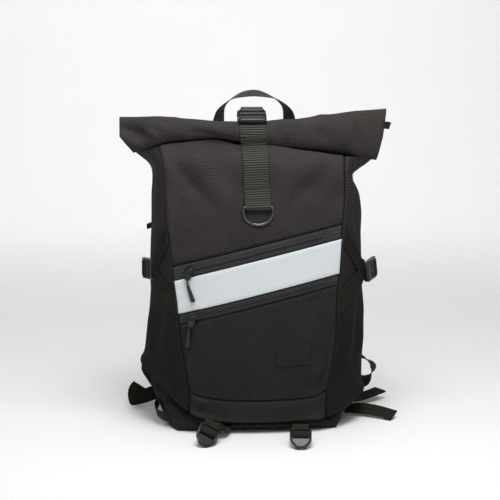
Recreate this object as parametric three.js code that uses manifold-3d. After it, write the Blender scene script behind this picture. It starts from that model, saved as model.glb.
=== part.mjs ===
// Roll-top backpack standing on its base, closed and strapped down.
// Millimetres, +Z up. The front faces -Y and the origin is the middle of the base's underside.
// The bag is a hollow of sewn panels: every panel is a patch of one lofted body surface, given
// its own wall thickness, so that neighbouring panels meet along their seams.
import * as THREE from "three";
import { mergeVertices } from "three/addons/utils/BufferGeometryUtils.js";
import Module from "manifold-3d";

const wasm = await Module();
wasm.setup();

// Cloth, webbing and seams
const FABRIC = 2;
const BACK_PADDING = 6;
const ZIP_TAPE = 1.6;
const ZIP_RIDGE = 1.4;
const SEAM_GAP_U = 0.002;
const SEAM_GAP_V = 0.01;
const LINE_GAP = 0.4;
const LIFT = 0.7;
const WEB_THICK = 1.6;
const WIDE_WEB = 38;
const NARROW_WEB = 25;

// Rings of the body surface, from the floor up. zFront is the ring's height at the front panel,
// zLeft and zRight are its heights at the two back corners, and cornerRise lifts it at the front
// seams. The halves are half-widths across X. crown is how far the front seams lie behind the
// middle of the front, and rightDrop how far the ring sags on the right side.
const RINGS = [
  { zFront: 0, zLeft: 0, zRight: 0, cornerRise: 0, frontHalf: 122, leftHalf: 131, rightHalf: 132,
    backHalf: 116, frontY: -70, backY: 70, crown: 3, rightDrop: 0 },
  { zFront: 13, zLeft: 124, zRight: 58, cornerRise: 10, frontHalf: 104, leftHalf: 176, rightHalf: 172,
    backHalf: 138, frontY: -87, backY: 76, crown: 7, rightDrop: 0 },
  { zFront: 56, zLeft: 152, zRight: 100, cornerRise: 5, frontHalf: 103, leftHalf: 169, rightHalf: 172,
    backHalf: 141, frontY: -92, backY: 79, crown: 9, rightDrop: 0 },
  { zFront: 131, zLeft: 183, zRight: 155, cornerRise: 0, frontHalf: 111, leftHalf: 165, rightHalf: 171,
    backHalf: 142, frontY: -94, backY: 80, crown: 10, rightDrop: 0 },
  { zFront: 208, zLeft: 215, zRight: 211, cornerRise: 0, frontHalf: 117, leftHalf: 161, rightHalf: 169,
    backHalf: 142, frontY: -90, backY: 80, crown: 9, rightDrop: 0 },
  { zFront: 285, zLeft: 285, zRight: 285, cornerRise: 0, frontHalf: 123, leftHalf: 160, rightHalf: 166,
    backHalf: 140, frontY: -84, backY: 79, crown: 8, rightDrop: 0 },
  { zFront: 350, zLeft: 350, zRight: 350, cornerRise: 0, frontHalf: 129, leftHalf: 158, rightHalf: 161,
    backHalf: 137, frontY: -76, backY: 74, crown: 8, rightDrop: 0 },
  { zFront: 397, zLeft: 397, zRight: 397, cornerRise: 0, frontHalf: 133, leftHalf: 157, rightHalf: 150,
    backHalf: 133, frontY: -63, backY: 62, crown: 7, rightDrop: 5 },
  { zFront: 421, zLeft: 421, zRight: 421, cornerRise: 0, frontHalf: 141, leftHalf: 180, rightHalf: 180,
    backHalf: 141, frontY: -43, backY: 36, crown: 4, rightDrop: 10 },
  { zFront: 443, zLeft: 443, zRight: 443, cornerRise: 0, frontHalf: 149, leftHalf: 190, rightHalf: 186,
    backHalf: 149, frontY: -28.8, backY: -20.2, crown: 0, rightDrop: 0 },
];
const BASE_POUCH = 6;
const FOLD_ROW = 1;
const THROAT_ROW = 7;
const TOP_ROW = RINGS.length - 1;

// The slanting lines across the front, as heights at the middle of the front panel
const BAND_SLOPE = 0.24;
const UPPER_ZIP_TOP = 285;
const BAND_TOP = 268.5;
const BAND_BOTTOM = 217;
const LOWER_ZIP_BOTTOM = 200;
const HEM_SEAM = 52;
const HEM_CORNER_RISE = 20;
const HEM_CORNER_START = 0.78;

// The rolled mouth, one row for each station along its length. The strip winds from the back
// over the top, losing TURN_LOSS of its size each turn. lean and slant are the sideways slopes of
// its ends above and below its centre.
const ROLL = [
  { x: -203, centreY: -42, centreZ: 448, halfDepth: 12, halfHeight: 30.2, lean: 0, slant: -0.85 },
  { x: -140, centreY: -43.5, centreZ: 455, halfDepth: 15, halfHeight: 22, lean: 0, slant: -0.2 },
  { x: -62, centreY: -45, centreZ: 457, halfDepth: 16.5, halfHeight: 14.2, lean: 0, slant: 0 },
  { x: -5, centreY: -45, centreZ: 451.3, halfDepth: 17, halfHeight: 18, lean: 0, slant: 0 },
  { x: 70, centreY: -45, centreZ: 451, halfDepth: 16.5, halfHeight: 24.5, lean: 0.02, slant: 0.02 },
  { x: 125, centreY: -44, centreZ: 451.5, halfDepth: 15, halfHeight: 31, lean: 0.06, slant: 0.08 },
  { x: 190, centreY: -42, centreZ: 448.5, halfDepth: 12, halfHeight: 41.6, lean: 0.16, slant: 0.26 },
];
const ROLL_STATIONS = 14;
const ROLL_WALL = 2.6;
const ROLL_TURNS = 1.85;
const TURN_LOSS = 0.33;
const STEPS_PER_TURN = 15;
const TUCK_Y = -24.5;
const TUCK_DEPTH = 4;
const TUCK_HALF = 145;
const CLEAR_OF_EDGE = 2.4;
const TAB_HALF = 3.5;

// Closure strap, D-ring and buckle
const STRAP_FOOT_X = 0.5;
const STRAP_HEAD_X = -6;
const STRAP_HEAD_Z = 470;
const RING_BAR_Z = 344;
const RING_WIRE = 2.2;
const RING_PLAY = 0.5;
const RING_HALF = 22.2;
const RING_DROP = 26;
const RING_TILT = 0.075;
const STRAP_TAIL_TOP = 372;
const BUCKLE_WIDTH = 42;

const material = (color, roughness, metalness = 0) =>
  new THREE.MeshStandardMaterial({ color, roughness, metalness });
const MATERIALS = {
  fabric: material(0x2b2827, 0.85),
  webbing: material(0x2e2f2a, 0.8),
  reflective: material(0xccd3d8, 0.45),
  zip: material(0x2c2d2e, 0.6),
  plastic: material(0x33332f, 0.4),
  metal: material(0x4a4743, 0.35, 0.8),
  grip: material(0x2a2a29, 0.5),
  padding: material(0x262525, 0.9),
};

const bag = new THREE.Group();

function addMesh(name, geometry, finish) {
  const mesh = new THREE.Mesh(geometry, MATERIALS[finish]);
  mesh.name = name;
  bag.add(mesh);
  return mesh;
}

const lerp = THREE.MathUtils.lerp;
const clamp = THREE.MathUtils.clamp;
const vec = (x, y, z) => new THREE.Vector3(x, y, z);

// A column of a table at a fractional row, along a smooth curve through its rows
function smoothColumn(table, column, row, first = 0) {
  const last = table.length - 1;
  const i = clamp(Math.floor(row), first, last - 1);
  const value = (k) => table[clamp(k, first, last)][column];
  const t = row - i;
  const rise = value(i + 1) - value(i);
  const slopeIn = (value(i + 1) - value(i - 1)) / 2;
  const slopeOut = (value(i + 2) - value(i)) / 2;
  const bend = slopeIn + slopeOut - 2 * rise;
  return value(i) + t * (slopeIn + t * (rise - slopeIn - bend + t * bend));
}

// Straight below the fold and where the right side turns out to the roll's corner, else smooth
function ringColumn(column, v) {
  const turnsOut = column === "rightHalf" && v > THROAT_ROW && v < THROAT_ROW + 1;
  if (v > FOLD_ROW && !turnsOut) return smoothColumn(RINGS, column, v, FOLD_ROW);
  const low = turnsOut ? THROAT_ROW : 0;
  return lerp(RINGS[low][column], RINGS[low + 1][column], v - low);
}

// A point of the body surface. u runs 0 to 1 across the front, then over the right side, the back
// and the left side, each one unit long. v counts the rings from the floor.
function bodyPoint(u, v) {
  const ring = Object.fromEntries(
    Object.keys(RINGS[0]).map((column) => [column, ringColumn(column, v)]),
  );
  const { frontHalf, backHalf, frontY, backY, crown } = ring;
  const around = ((u % 4) + 4) % 4;
  const lane = Math.floor(around);
  const t = around - lane;
  let x, y;
  let lifted = 0;
  if (lane === 0) {
    const s = Math.abs(2 * t - 1);
    const pouch = v < FOLD_ROW ? BASE_POUCH * Math.sin(Math.PI * v) * (1 - s * s) ** 2 : 0;
    x = frontHalf * (2 * t - 1);
    y = frontY + crown * s ** 2.2 - pouch;
    lifted = ring.cornerRise * s ** 3;
  } else if (lane === 2) {
    x = backHalf * (1 - 2 * t);
    y = backY;
  } else {
    const onRight = lane === 1;
    const along = onRight ? t : 1 - t;
    const reach = onRight ? ring.rightHalf : ring.leftHalf;
    const swell = Math.sin(Math.PI * along);
    x = lerp(frontHalf, backHalf, along) + (reach - (frontHalf + backHalf) / 2) * swell;
    y = lerp(frontY + crown, backY, along);
    lifted = ring.cornerRise * (1 - along) ** 2 - (onRight ? ring.rightDrop * swell : 0);
    if (!onRight) x = -x;
  }
  const leftness = clamp(0.5 - x / (2 * backHalf), 0, 1);
  const zBack = lerp(ring.zRight, ring.zLeft, leftness);
  const depth = clamp((y - frontY) / (backY - frontY), 0, 1);
  return vec(x, y, lerp(ring.zFront, zBack, depth) + lifted);
}

const PROBE = 0.02;

// The outward direction of the surface. Beside the fold it is the mean of the two sides, so that
// the walls that meet there keep a mitred edge.
function bodyNormal(u, v) {
  const centre = Math.abs(v - FOLD_ROW) < PROBE ? FOLD_ROW : v;
  const low = Math.max(centre - PROBE, 0);
  const high = Math.min(centre + PROBE, TOP_ROW);
  const across = bodyPoint(u + PROBE, centre).sub(bodyPoint(u - PROBE, centre));
  const upward = bodyPoint(u, high).sub(bodyPoint(u, low));
  return across.cross(upward).normalize();
}

const onBody = (u, v, lift) => bodyPoint(u, v).addScaledVector(bodyNormal(u, v), lift);

// The ring number at which a column of heights reaches z
function ringAtHeight(z, column = "zFront") {
  let low = FOLD_ROW;
  let high = TOP_ROW;
  for (let i = 0; i < 40; i++) {
    const middle = (low + high) / 2;
    if (ringColumn(column, middle) < z) low = middle;
    else high = middle;
  }
  return low;
}

// The ring number where a slanting front line, a height as a function of x, crosses column s
function ringAtLine(line, s) {
  let v = TOP_ROW / 2;
  for (let i = 0; i < 8; i++) v = ringAtHeight(line(s * ringColumn("frontHalf", v)));
  return v;
}

const frontU = (s) => (s + 1) / 2;
const onFront = (x, z, lift) => {
  const v = ringAtHeight(z);
  return onBody(frontU(x / ringColumn("frontHalf", v)), v, lift);
};

// A closed geometry from points and faces of three or four corners
function closedGeometry(points, faces) {
  const index = faces.flatMap((f) =>
    f.length === 3 ? f : [f[0], f[1], f[2], f[0], f[2], f[3]],
  );
  const geometry = new THREE.BufferGeometry();
  const flat = new Float32Array(points.flatMap((p) => p.toArray()));
  geometry.setAttribute("position", new THREE.BufferAttribute(flat, 3));
  geometry.setIndex(index);
  return geometry;
}

// A curved wall between an outer and an inner grid of points, each outer[i][j]
function wall(outer, inner) {
  const columns = outer.length - 1;
  const rows = outer[0].length - 1;
  const points = [...outer.flat(), ...inner.flat()];
  const front = (i, j) => i * (rows + 1) + j;
  const rear = (i, j) => outer.length * (rows + 1) + front(i, j);
  const faces = [];
  for (let i = 0; i < columns; i++) {
    for (let j = 0; j < rows; j++) {
      faces.push([front(i, j), front(i + 1, j), front(i + 1, j + 1), front(i, j + 1)]);
      faces.push([rear(i, j), rear(i, j + 1), rear(i + 1, j + 1), rear(i + 1, j)]);
    }
    faces.push([front(i + 1, 0), front(i, 0), rear(i, 0), rear(i + 1, 0)]);
    faces.push([front(i, rows), front(i + 1, rows), rear(i + 1, rows), rear(i, rows)]);
  }
  for (let j = 0; j < rows; j++) {
    faces.push([front(0, j), front(0, j + 1), rear(0, j + 1), rear(0, j)]);
    faces.push([front(columns, j + 1), front(columns, j), rear(columns, j), rear(columns, j + 1)]);
  }
  return closedGeometry(points, faces);
}

// A solid through loops of points with the same count. Ends close on the loops' middles, unless
// the last loop joins the first.
function loft(loops, joined = false) {
  const count = loops[0].length;
  const points = loops.flat();
  const faces = [];
  const last = joined ? loops.length : loops.length - 1;
  for (let k = 0; k < last; k++) {
    const here = k * count;
    const next = ((k + 1) % loops.length) * count;
    for (let i = 0; i < count; i++) {
      const j = (i + 1) % count;
      faces.push([here + i, here + j, next + j, next + i]);
    }
  }
  if (!joined) {
    for (const [k, turned] of [[0, true], [loops.length - 1, false]]) {
      const middle = points.length;
      points.push(loops[k].reduce((sum, p) => sum.add(p), vec(0, 0, 0)).divideScalar(count));
      for (let i = 0; i < count; i++) {
        const a = k * count + i;
        const b = k * count + ((i + 1) % count);
        faces.push(turned ? [middle, b, a] : [middle, a, b]);
      }
    }
  }
  return closedGeometry(points, faces);
}

// A patch of the body surface between two ring limits, each a function of u, as a wall
function panel(u0, u1, low, high, columns, rows, thickness, relief = () => 0) {
  const grid = (depth) =>
    Array.from({ length: columns + 1 }, (_, i) => {
      const u = lerp(u0 + SEAM_GAP_U, u1 - SEAM_GAP_U, i / columns);
      return Array.from({ length: rows + 1 }, (_, j) => {
        const t = j / rows;
        return onBody(u, lerp(low(u), high(u), t), depth ? -depth : relief(t));
      });
    });
  return wall(grid(0), grid(thickness));
}

// A swept bar: sections of the given half-width and half-thickness along a smooth route.
// Each route row is a place and the direction of the bar's width there.
function sweep(route, steps, section) {
  const places = new THREE.CatmullRomCurve3(route.map((r) => r.at), false, "centripetal");
  const widths = new THREE.CatmullRomCurve3(route.map((r) => r.across), false, "catmullrom");
  const loops = [];
  for (let k = 0; k <= steps; k++) {
    const t = k / steps;
    const ahead = places.getTangent(t);
    const across = widths.getPoint(t);
    across.addScaledVector(ahead, -across.dot(ahead)).normalize();
    const out = across.clone().cross(ahead).negate();
    const at = places.getPoint(t);
    loops.push(section(t).map(([w, h]) =>
      at.clone().addScaledVector(across, w).addScaledVector(out, h)));
  }
  return loft(loops);
}

const flatSection = (width, thickness) => () =>
  [[-1, -1], [1, -1], [1, 1], [-1, 1]].map(([w, h]) => [(w * width) / 2, (h * thickness) / 2]);

const roundSection = (radius, sides = 8) => (t) =>
  Array.from({ length: sides }, (_, i) => {
    const angle = (2 * Math.PI * i) / sides;
    return [radius(t) * Math.cos(angle), radius(t) * Math.sin(angle)];
  });

const webbing = (route, steps, width = NARROW_WEB) =>
  sweep(route, steps, flatSection(width, WEB_THICK));

const step = (at, across) => ({ at: vec(...at), across: vec(...across) });

// A route beside the body surface through [u, v, lift] places, its width lying along the surface
function besideBody(places) {
  const at = places.map(([u, v, lift]) => onBody(u, v, lift + WEB_THICK / 2));
  return at.map((point, i) => {
    const ahead = at[Math.min(i + 1, at.length - 1)].clone().sub(at[Math.max(i - 1, 0)]);
    const [u, v] = places[i];
    return { at: point, across: bodyNormal(u, v).cross(ahead).normalize() };
  });
}

// A flat part cut from an outline with slots, its faces at plus and minus half its thickness
function plate(outline, slots, thickness, bevel) {
  const shape = new THREE.Shape(outline.map(([x, y]) => new THREE.Vector2(x, y)));
  shape.holes = slots.map((slot) => new THREE.Path(slot.map(([x, y]) => new THREE.Vector2(x, y))));
  const geometry = new THREE.ExtrudeGeometry(shape, {
    depth: thickness - 2 * bevel,
    bevelEnabled: bevel > 0,
    bevelThickness: bevel,
    bevelSize: bevel,
    bevelOffset: -bevel,
    bevelSegments: 1,
    curveSegments: 4,
  });
  return geometry.translate(0, 0, bevel - thickness / 2);
}

const rectangle = (x0, y0, x1, y1) => [[x0, y0], [x1, y0], [x1, y1], [x0, y1]];

// Puts a part with its width along X, its length along Y and its face along Z into the bag
function place(mesh, at, across, face) {
  const z = face.clone().normalize();
  const x = across.clone().addScaledVector(z, -across.dot(z)).normalize();
  const y = z.clone().cross(x);
  mesh.quaternion.setFromRotationMatrix(new THREE.Matrix4().makeBasis(x, y, z));
  mesh.position.copy(at);
  return mesh;
}

function toSolid(geometry) {
  const bare = geometry.clone();
  bare.deleteAttribute("normal");
  bare.deleteAttribute("uv");
  const merged = mergeVertices(bare, 1e-4);
  return new wasm.Manifold(new wasm.Mesh({
    numProp: 3,
    vertProperties: merged.attributes.position.array,
    triVerts: new Uint32Array(merged.index.array),
  }));
}

function fromSolid(solid) {
  const mesh = solid.getMesh();
  const geometry = new THREE.BufferGeometry();
  geometry.setAttribute("position", new THREE.BufferAttribute(mesh.vertProperties, 3));
  geometry.setIndex(new THREE.BufferAttribute(mesh.triVerts, 1));
  return geometry;
}

const joined = (...geometries) =>
  fromSolid(geometries.map(toSolid).reduce((all, next) => all.add(next)));

// Base: a shallow tray whose flaring walls rise to the fold, highest at the back corners
function buildBase() {
  const around = 40;
  const floor = 2.5;
  const inset = 0.955;
  const rim = FOLD_ROW - SEAM_GAP_V;
  const loop = (point) => Array.from({ length: around }, (_, i) => point((4 * i) / around));
  const levels = [0, rim / 2, rim];
  const outer = levels.map((v) => loop((u) => onBody(u, v, 0).setZ(bodyPoint(u, v).z)));
  const inner = levels.slice(1).reverse().map((v) => loop((u) => onBody(u, v, -FABRIC)));
  const middle = vec(0, 0, 0);
  const shrink = (p) => p.clone().sub(middle).multiplyScalar(inset).add(middle).setZ(floor);
  const innerFloor = loop((u) => shrink(bodyPoint(u, 0)));
  const underside = outer[0].map((p) => p.clone().multiplyScalar(0.5));
  const floorRing = innerFloor.map((p) => vec(p.x / 2, p.y / 2, floor));
  addMesh("base_panel", loft([underside, ...outer, ...inner, innerFloor, floorRing]), "fabric");
}

// Front: the upper panel, two slanting zips either side of a band, the pocket and its hem
function buildFront() {
  const line = (height) => (x) => height + BAND_SLOPE * x;
  const seam = (height) => (u) => ringAtLine(line(height), 2 * u - 1);
  const top = () => TOP_ROW;
  const hemHeight = (u) => {
    const corner = Math.max(0, Math.abs(2 * u - 1) - HEM_CORNER_START) / (1 - HEM_CORNER_START);
    return HEM_SEAM + HEM_CORNER_RISE * corner ** 2;
  };
  const hem = (gap) => (u) => ringAtHeight(hemHeight(u) + gap);
  const fold = () => FOLD_ROW + SEAM_GAP_V;
  const ridge = (t) => ZIP_RIDGE * Math.max(0, 1 - Math.abs(t - 0.5) / 0.25);
  const g = LINE_GAP / 2;
  const strip = (low, high, ...rest) => panel(0, 1, low, high, ...rest);
  addMesh("upper_front_panel", strip(seam(UPPER_ZIP_TOP + g), top, 14, 10, FABRIC), "fabric");
  addMesh("upper_zip",
    strip(seam(BAND_TOP + g), seam(UPPER_ZIP_TOP - g), 12, 4, ZIP_TAPE, ridge), "zip");
  addMesh("reflective_band",
    strip(seam(BAND_BOTTOM + g), seam(BAND_TOP - g), 12, 3, FABRIC), "reflective");
  addMesh("lower_zip",
    strip(seam(LOWER_ZIP_BOTTOM + g), seam(BAND_BOTTOM - g), 12, 4, ZIP_TAPE, ridge), "zip");
  addMesh("pocket_panel", strip(hem(g), seam(LOWER_ZIP_BOTTOM - g), 14, 8, FABRIC), "fabric");
  addMesh("front_hem", strip(fold, hem(-g), 14, 3, FABRIC), "fabric");
}

function buildSidesAndBack() {
  const fold = () => FOLD_ROW + SEAM_GAP_V;
  const top = () => TOP_ROW;
  const rows = 18;
  const padRows = 13;
  const padTop = lerp(fold(), top(), padRows / rows);
  addMesh("right_side_panel", panel(1, 2, fold, top, 9, rows, FABRIC), "fabric");
  addMesh("left_side_panel", panel(3, 4, fold, top, 9, rows, FABRIC), "fabric");
  addMesh("back_panel",
    panel(2, 3, fold, () => padTop - SEAM_GAP_V, 8, padRows, BACK_PADDING), "padding");
  addMesh("back_collar", panel(2, 3, () => padTop, top, 8, rows - padRows, FABRIC), "fabric");
}

// Rolled mouth: one strip, tucked between the front and back walls and wound forward
const rollRow = (x) => {
  let row = 0;
  while (row < ROLL.length - 2 && x > ROLL[row + 1].x) row++;
  return row + (x - ROLL[row].x) / (ROLL[row + 1].x - ROLL[row].x);
};

function rollPoint(x, angle) {
  const [centreY, centreZ, halfDepth, halfHeight, lean, slant] = [
    "centreY", "centreZ", "halfDepth", "halfHeight", "lean", "slant",
  ].map((column) => smoothColumn(ROLL, column, rollRow(x)));
  const size = 1 - (TURN_LOSS * angle) / (2 * Math.PI);
  const rise = size * halfHeight * Math.sin(angle);
  const sideways = (rise > 0 ? lean : slant) * rise;
  return vec(x + sideways, centreY + size * halfDepth * Math.cos(angle), centreZ + rise);
}

function buildRoll() {
  const steps = Math.round(ROLL_TURNS * STEPS_PER_TURN);
  const angleAt = (k) => (2 * Math.PI * k) / STEPS_PER_TURN;
  const middles = [];
  for (let i = 0; i <= ROLL_STATIONS; i++) {
    const x = lerp(ROLL[0].x, ROLL[ROLL.length - 1].x, i / ROLL_STATIONS);
    const tucked = Math.abs(x) < TUCK_HALF;
    const foot = RINGS[TOP_ROW].zFront + (tucked ? -TUCK_DEPTH : CLEAR_OF_EDGE);
    const strip = [vec(x, TUCK_Y, foot), vec(x, TUCK_Y, foot + 2)];
    for (let k = 0; k <= steps; k++) strip.push(rollPoint(x, angleAt(k)));
    middles.push(strip);
  }
  const offset = (side) => middles.map((strip) => strip.map((p, k) => {
    const before = strip[Math.max(k - 1, 0)];
    const after = strip[Math.min(k + 1, strip.length - 1)];
    const normal = vec(0, after.z - before.z, before.y - after.y).normalize();
    return p.clone().addScaledVector(normal, (side * ROLL_WALL) / 2);
  }));
  addMesh("roll_top", wall(offset(-1), offset(1)), "fabric");
  const end = ROLL[ROLL.length - 1];
  const tabAt = rollPoint(end.x, 0.85 * Math.PI).add(vec(TAB_HALF + LIFT / 2, 0, 0));
  const tab = addMesh("roll_end_tab", plate(rectangle(-6, -TAB_HALF, 6, TAB_HALF), [], 3, 0), "webbing");
  place(tab, tabAt, vec(end.lean, 0, 1), vec(0, -1, 0));
}

// Closure strap: doubled round the D-ring's bar, then up the front and over the roll
const strapX = (z) => lerp(STRAP_FOOT_X, STRAP_HEAD_X,
  clamp((z - RING_BAR_Z) / (STRAP_HEAD_Z - RING_BAR_Z), 0, 1));

function strapHeights() {
  const front = (z, lift) => onFront(strapX(z), z, lift);
  const layer = LIFT + WEB_THICK / 2;
  const second = layer + WEB_THICK + LIFT / 2;
  const barOut = LIFT + WEB_THICK + RING_PLAY + RING_WIRE;
  const bar = front(RING_BAR_Z, barOut);
  const wrap = RING_WIRE + RING_PLAY + WEB_THICK / 2;
  const side = (angle) => bar.clone().add(
    vec(0, -wrap * Math.cos(angle), -wrap * Math.sin(angle)));
  return { front, layer, second, bar, side };
}

function buildClosure() {
  const { front, layer, second, bar, side } = strapHeights();
  const acrossX = (p) => ({ at: p, across: vec(1, 0, 0) });
  const around = [1, 0.75, 0.5, 0.25, 0].map((share) => side(Math.PI * share));
  const rollFront = (angle, lift) => {
    const p = rollPoint(STRAP_HEAD_X, angle);
    const out = vec(0, Math.cos(angle), Math.sin(angle));
    return p.addScaledVector(out, ROLL_WALL / 2 + lift + WEB_THICK / 2);
  };
  const route = [
    front(STRAP_TAIL_TOP, layer),
    front(RING_BAR_Z + 12, layer),
    ...around,
    front(RING_BAR_Z + 10, second + 1.6),
    front(STRAP_TAIL_TOP - 10, second),
    front(385, second),
    vec(strapX(420), -65.5, 420),
    rollFront(Math.PI * 1.02, 1.2),
    rollFront(Math.PI * 0.82, 1.2),
    rollFront(Math.PI * 0.74, 1.2),
  ].map(acrossX);
  addMesh("closure_strap", webbing(route, 36, WIDE_WEB), "webbing");

  const ringPath = [];
  const arc = 10;
  ringPath.push([RING_HALF, 0], [0, 0], [-RING_HALF, 0]);
  for (let i = 0; i <= arc; i++) {
    const angle = (Math.PI * i) / arc;
    const drop = 5 + (RING_DROP - 5) * Math.sin(angle);
    ringPath.push([-RING_HALF * Math.cos(angle), -drop]);
  }
  const ringAt = ([x, drop]) => vec(bar.x + x, bar.y + RING_TILT * drop, bar.z + drop);
  const centres = ringPath.map(ringAt);
  const flat = vec(0, 1, -RING_TILT).normalize();
  const loops = centres.map((p, i) => {
    const before = centres[(i + centres.length - 1) % centres.length];
    const after = centres[(i + 1) % centres.length];
    const ahead = after.clone().sub(before).normalize();
    const inward = flat.clone().cross(ahead);
    return roundSection(() => RING_WIRE)(0).map(([a, b]) =>
      p.clone().addScaledVector(inward, a).addScaledVector(flat, b));
  });
  addMesh("d_ring", loft(loops, true), "metal");

  const half = BUCKLE_WIDTH / 2;
  const slot = (low, high) => rectangle(-19.2, low, 19.2, high);
  const maleOutline = [
    [-half, -9], [-half + 3, -12], [half - 3, -12], [half, -9], [half, 12], [-half, 12],
  ];
  const male = addMesh("closure_buckle_male",
    plate(maleOutline, [slot(-7.5, -3.5), slot(1.5, 5.5)], 7, 0.6), "plastic");
  const maleAngle = Math.PI * 0.59;
  const out = vec(0, Math.cos(maleAngle), Math.sin(maleAngle));
  place(male, rollFront(maleAngle, 6.4), vec(1, 0, 0), out);
  const femaleOutline = [
    [-half, 0], [half, 0], [half + 1, 6], [half, 30], [half - 4, 34], [-half + 4, 34],
    [-half, 30], [-half - 1, 6],
  ];
  const female = addMesh("closure_buckle_female",
    plate(femaleOutline, [slot(22, 26)], 12, 0.6), "plastic");
  const hinge = male.position.clone().add(vec(0, 13.4, 6));
  place(female, hinge, vec(1, 0, 0), vec(0, 0.16, 1));
  const rear = [
    vec(STRAP_HEAD_X, hinge.y + 34.6, hinge.z - 5),
    vec(STRAP_HEAD_X, 26, 460),
    vec(STRAP_HEAD_X, 48, 430),
    onBody(2.5, ringAtHeight(400), LIFT + WEB_THICK).setX(STRAP_HEAD_X),
    onBody(2.5, ringAtHeight(375), LIFT + WEB_THICK).setX(STRAP_HEAD_X),
  ].map(acrossX);
  addMesh("rear_closure_strap", webbing(rear, 12, WIDE_WEB), "webbing");
}

// Haul handle: sewn flat to the back, then twisting over into an arch behind the roll
function buildHandle() {
  const foot = (side, z, lift) => {
    const p = onBody(2.5, ringAtHeight(z), lift + WEB_THICK / 2);
    return p.setX(side * 54);
  };
  const half = (side, wide) => [
    [foot(side, 386, 0.5), [-side, 0, 0]],
    [foot(side, 402, 2.4), [-side, 0, 0]],
    [vec(side * 54 * wide, 52, 436), [-side, 0.25, 0]],
    [vec(side * 50.5 * wide, 40, 464), [-side * 0.75, 0.65, 0]],
    [vec(side * 46 * wide, 35, 484), [-side * 0.5, 0.85, 0.1]],
    [vec(side * 32 * wide, 32, 497), [-side * 0.1, 1, 0.02]],
    [vec(side * 14 * wide, 31, 504), [0, 0.94, 0.28]],
  ];
  const crest = [[vec(2, 31, 506), [0, 0.92, 0.36]]];
  const route = [...half(-1, 1), ...crest, ...half(1, 1.06).reverse()];
  const steps = route.map(([at, across]) => ({ at, across: vec(...across) }));
  addMesh("haul_handle", webbing(steps, 28), "webbing");
}

// Side compression: a V of webbing from the front seam to a buckle, and a strap on to the back
function buildSideStraps() {
  const sides = [
    { side: "left", at: (t) => 4 - t, height: 241, turn: 0.06, lift: 6, roll: 0, slack: 0.8 },
    { side: "right", at: (t) => 1 + t, height: 236, turn: 0.3, lift: 14, roll: 0.36, slack: 5.7 },
  ];
  const apex = 0.39;
  const middle = 0.47;
  for (const { side, at, height, turn, lift, roll, slack } of sides) {
    const armShares = [0.03, 0.11, 0.2, 0.29, apex];
    const arm = (z) => besideBody(armShares.map((t) => [
      at(t),
      ringAtHeight(lerp(z, height, Math.min(1, t / (apex - 0.03)) ** 1.1)),
      lerp(LIFT, slack, (t / apex) ** 3),
    ]));
    const arms = [arm(303), arm(197)].map((route) => webbing(route, 10));
    addMesh(`${side}_side_strap`, joined(...arms), "webbing");
    const rearShares = [0.575, 0.68, 0.78, 0.88, 0.98];
    const rear = besideBody(rearShares.map((t) => [
      at(t), ringAtHeight(height), lerp(slack, LIFT, Math.min(1, (t - 0.575) / 0.25))]));
    addMesh(`${side}_rear_strap`, webbing(rear, 8), "webbing");
    const outline = [
      [-16, -17], [16, -17], [16, -2], [17, 4], [16, 17], [12, 19], [-12, 19], [-16, 17],
      [-17, 4], [-16, -2],
    ];
    const slots = [rectangle(-13, -14, 13, -10), rectangle(-13, -7, 13, -3.5)];
    const buckle = addMesh(`${side}_side_buckle`, plate(outline, slots, 6, 1), "plastic");
    const v = ringAtHeight(height);
    const face = bodyNormal(at(middle), v).add(vec(0, -turn, 0));
    const upright = side === "left" ? vec(0, 0, -1) : vec(-roll, 0, 1);
    place(buckle, onBody(at(middle), v, lift), upright, face);
  }
}

const LOCK_OUTLINE = [
  [-15, 0], [15, 0], [16, 2], [16, 24], [8, 36], [4, 38], [-4, 38], [-8, 36], [-16, 24], [-16, 2],
];
const LOCK_SLOTS = [rectangle(-12.8, 4, 12.8, 9), rectangle(-12.8, 14, 12.8, 19)];
const ladderLock = () => plate(LOCK_OUTLINE, LOCK_SLOTS, 5, 1);

// Ladder locks on short straps that come out of the fold and lean on the floor in front
function buildBaseStraps() {
  const locks = [
    { side: "left", rootX: -46, knee: [-50, -108, 19], top: [-63, -130, 19.5], lean: [-0.64, -0.67, -0.38] },
    { side: "right", rootX: 62, knee: [62, -112, 20], top: [63, -133, 20.5], lean: [0.02, -0.89, -0.45] },
  ];
  for (const { side, rootX, knee, top, lean } of locks) {
    const ahead = vec(...lean).normalize();
    const level = ahead.clone().cross(vec(0, 0, 1)).normalize();
    const across = level.clone().lerp(vec(-1, 0, 0), 0.1).normalize();
    const face = across.clone().cross(ahead).normalize();
    const root = onBody(frontU(rootX / RINGS[FOLD_ROW].frontHalf), FOLD_ROW, 2 * LIFT);
    const route = [
      { at: root, across: vec(-1, 0, 0) },
      { at: vec(...knee), across: vec(-1, 0, 0).lerp(across, 0.5) },
      { at: vec(...top).addScaledVector(ahead, -9), across },
      { at: vec(...top), across },
    ];
    addMesh(`${side}_base_strap`, webbing(route, 8), "webbing");
    const lock = addMesh(`${side}_base_lock`, ladderLock(), "plastic");
    place(lock, vec(...top).addScaledVector(ahead, 0.9), across, face);
  }
}

// Shoulder straps: a pad from the back, a ladder lock, webbing to the base corner and a loose tail
const LOCK_X = 108.6;
const LOCK_TOP = { y: 108, z: 163.5 };
const LOCK_FACE = vec(0, 0.9, -0.35).normalize();

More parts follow.
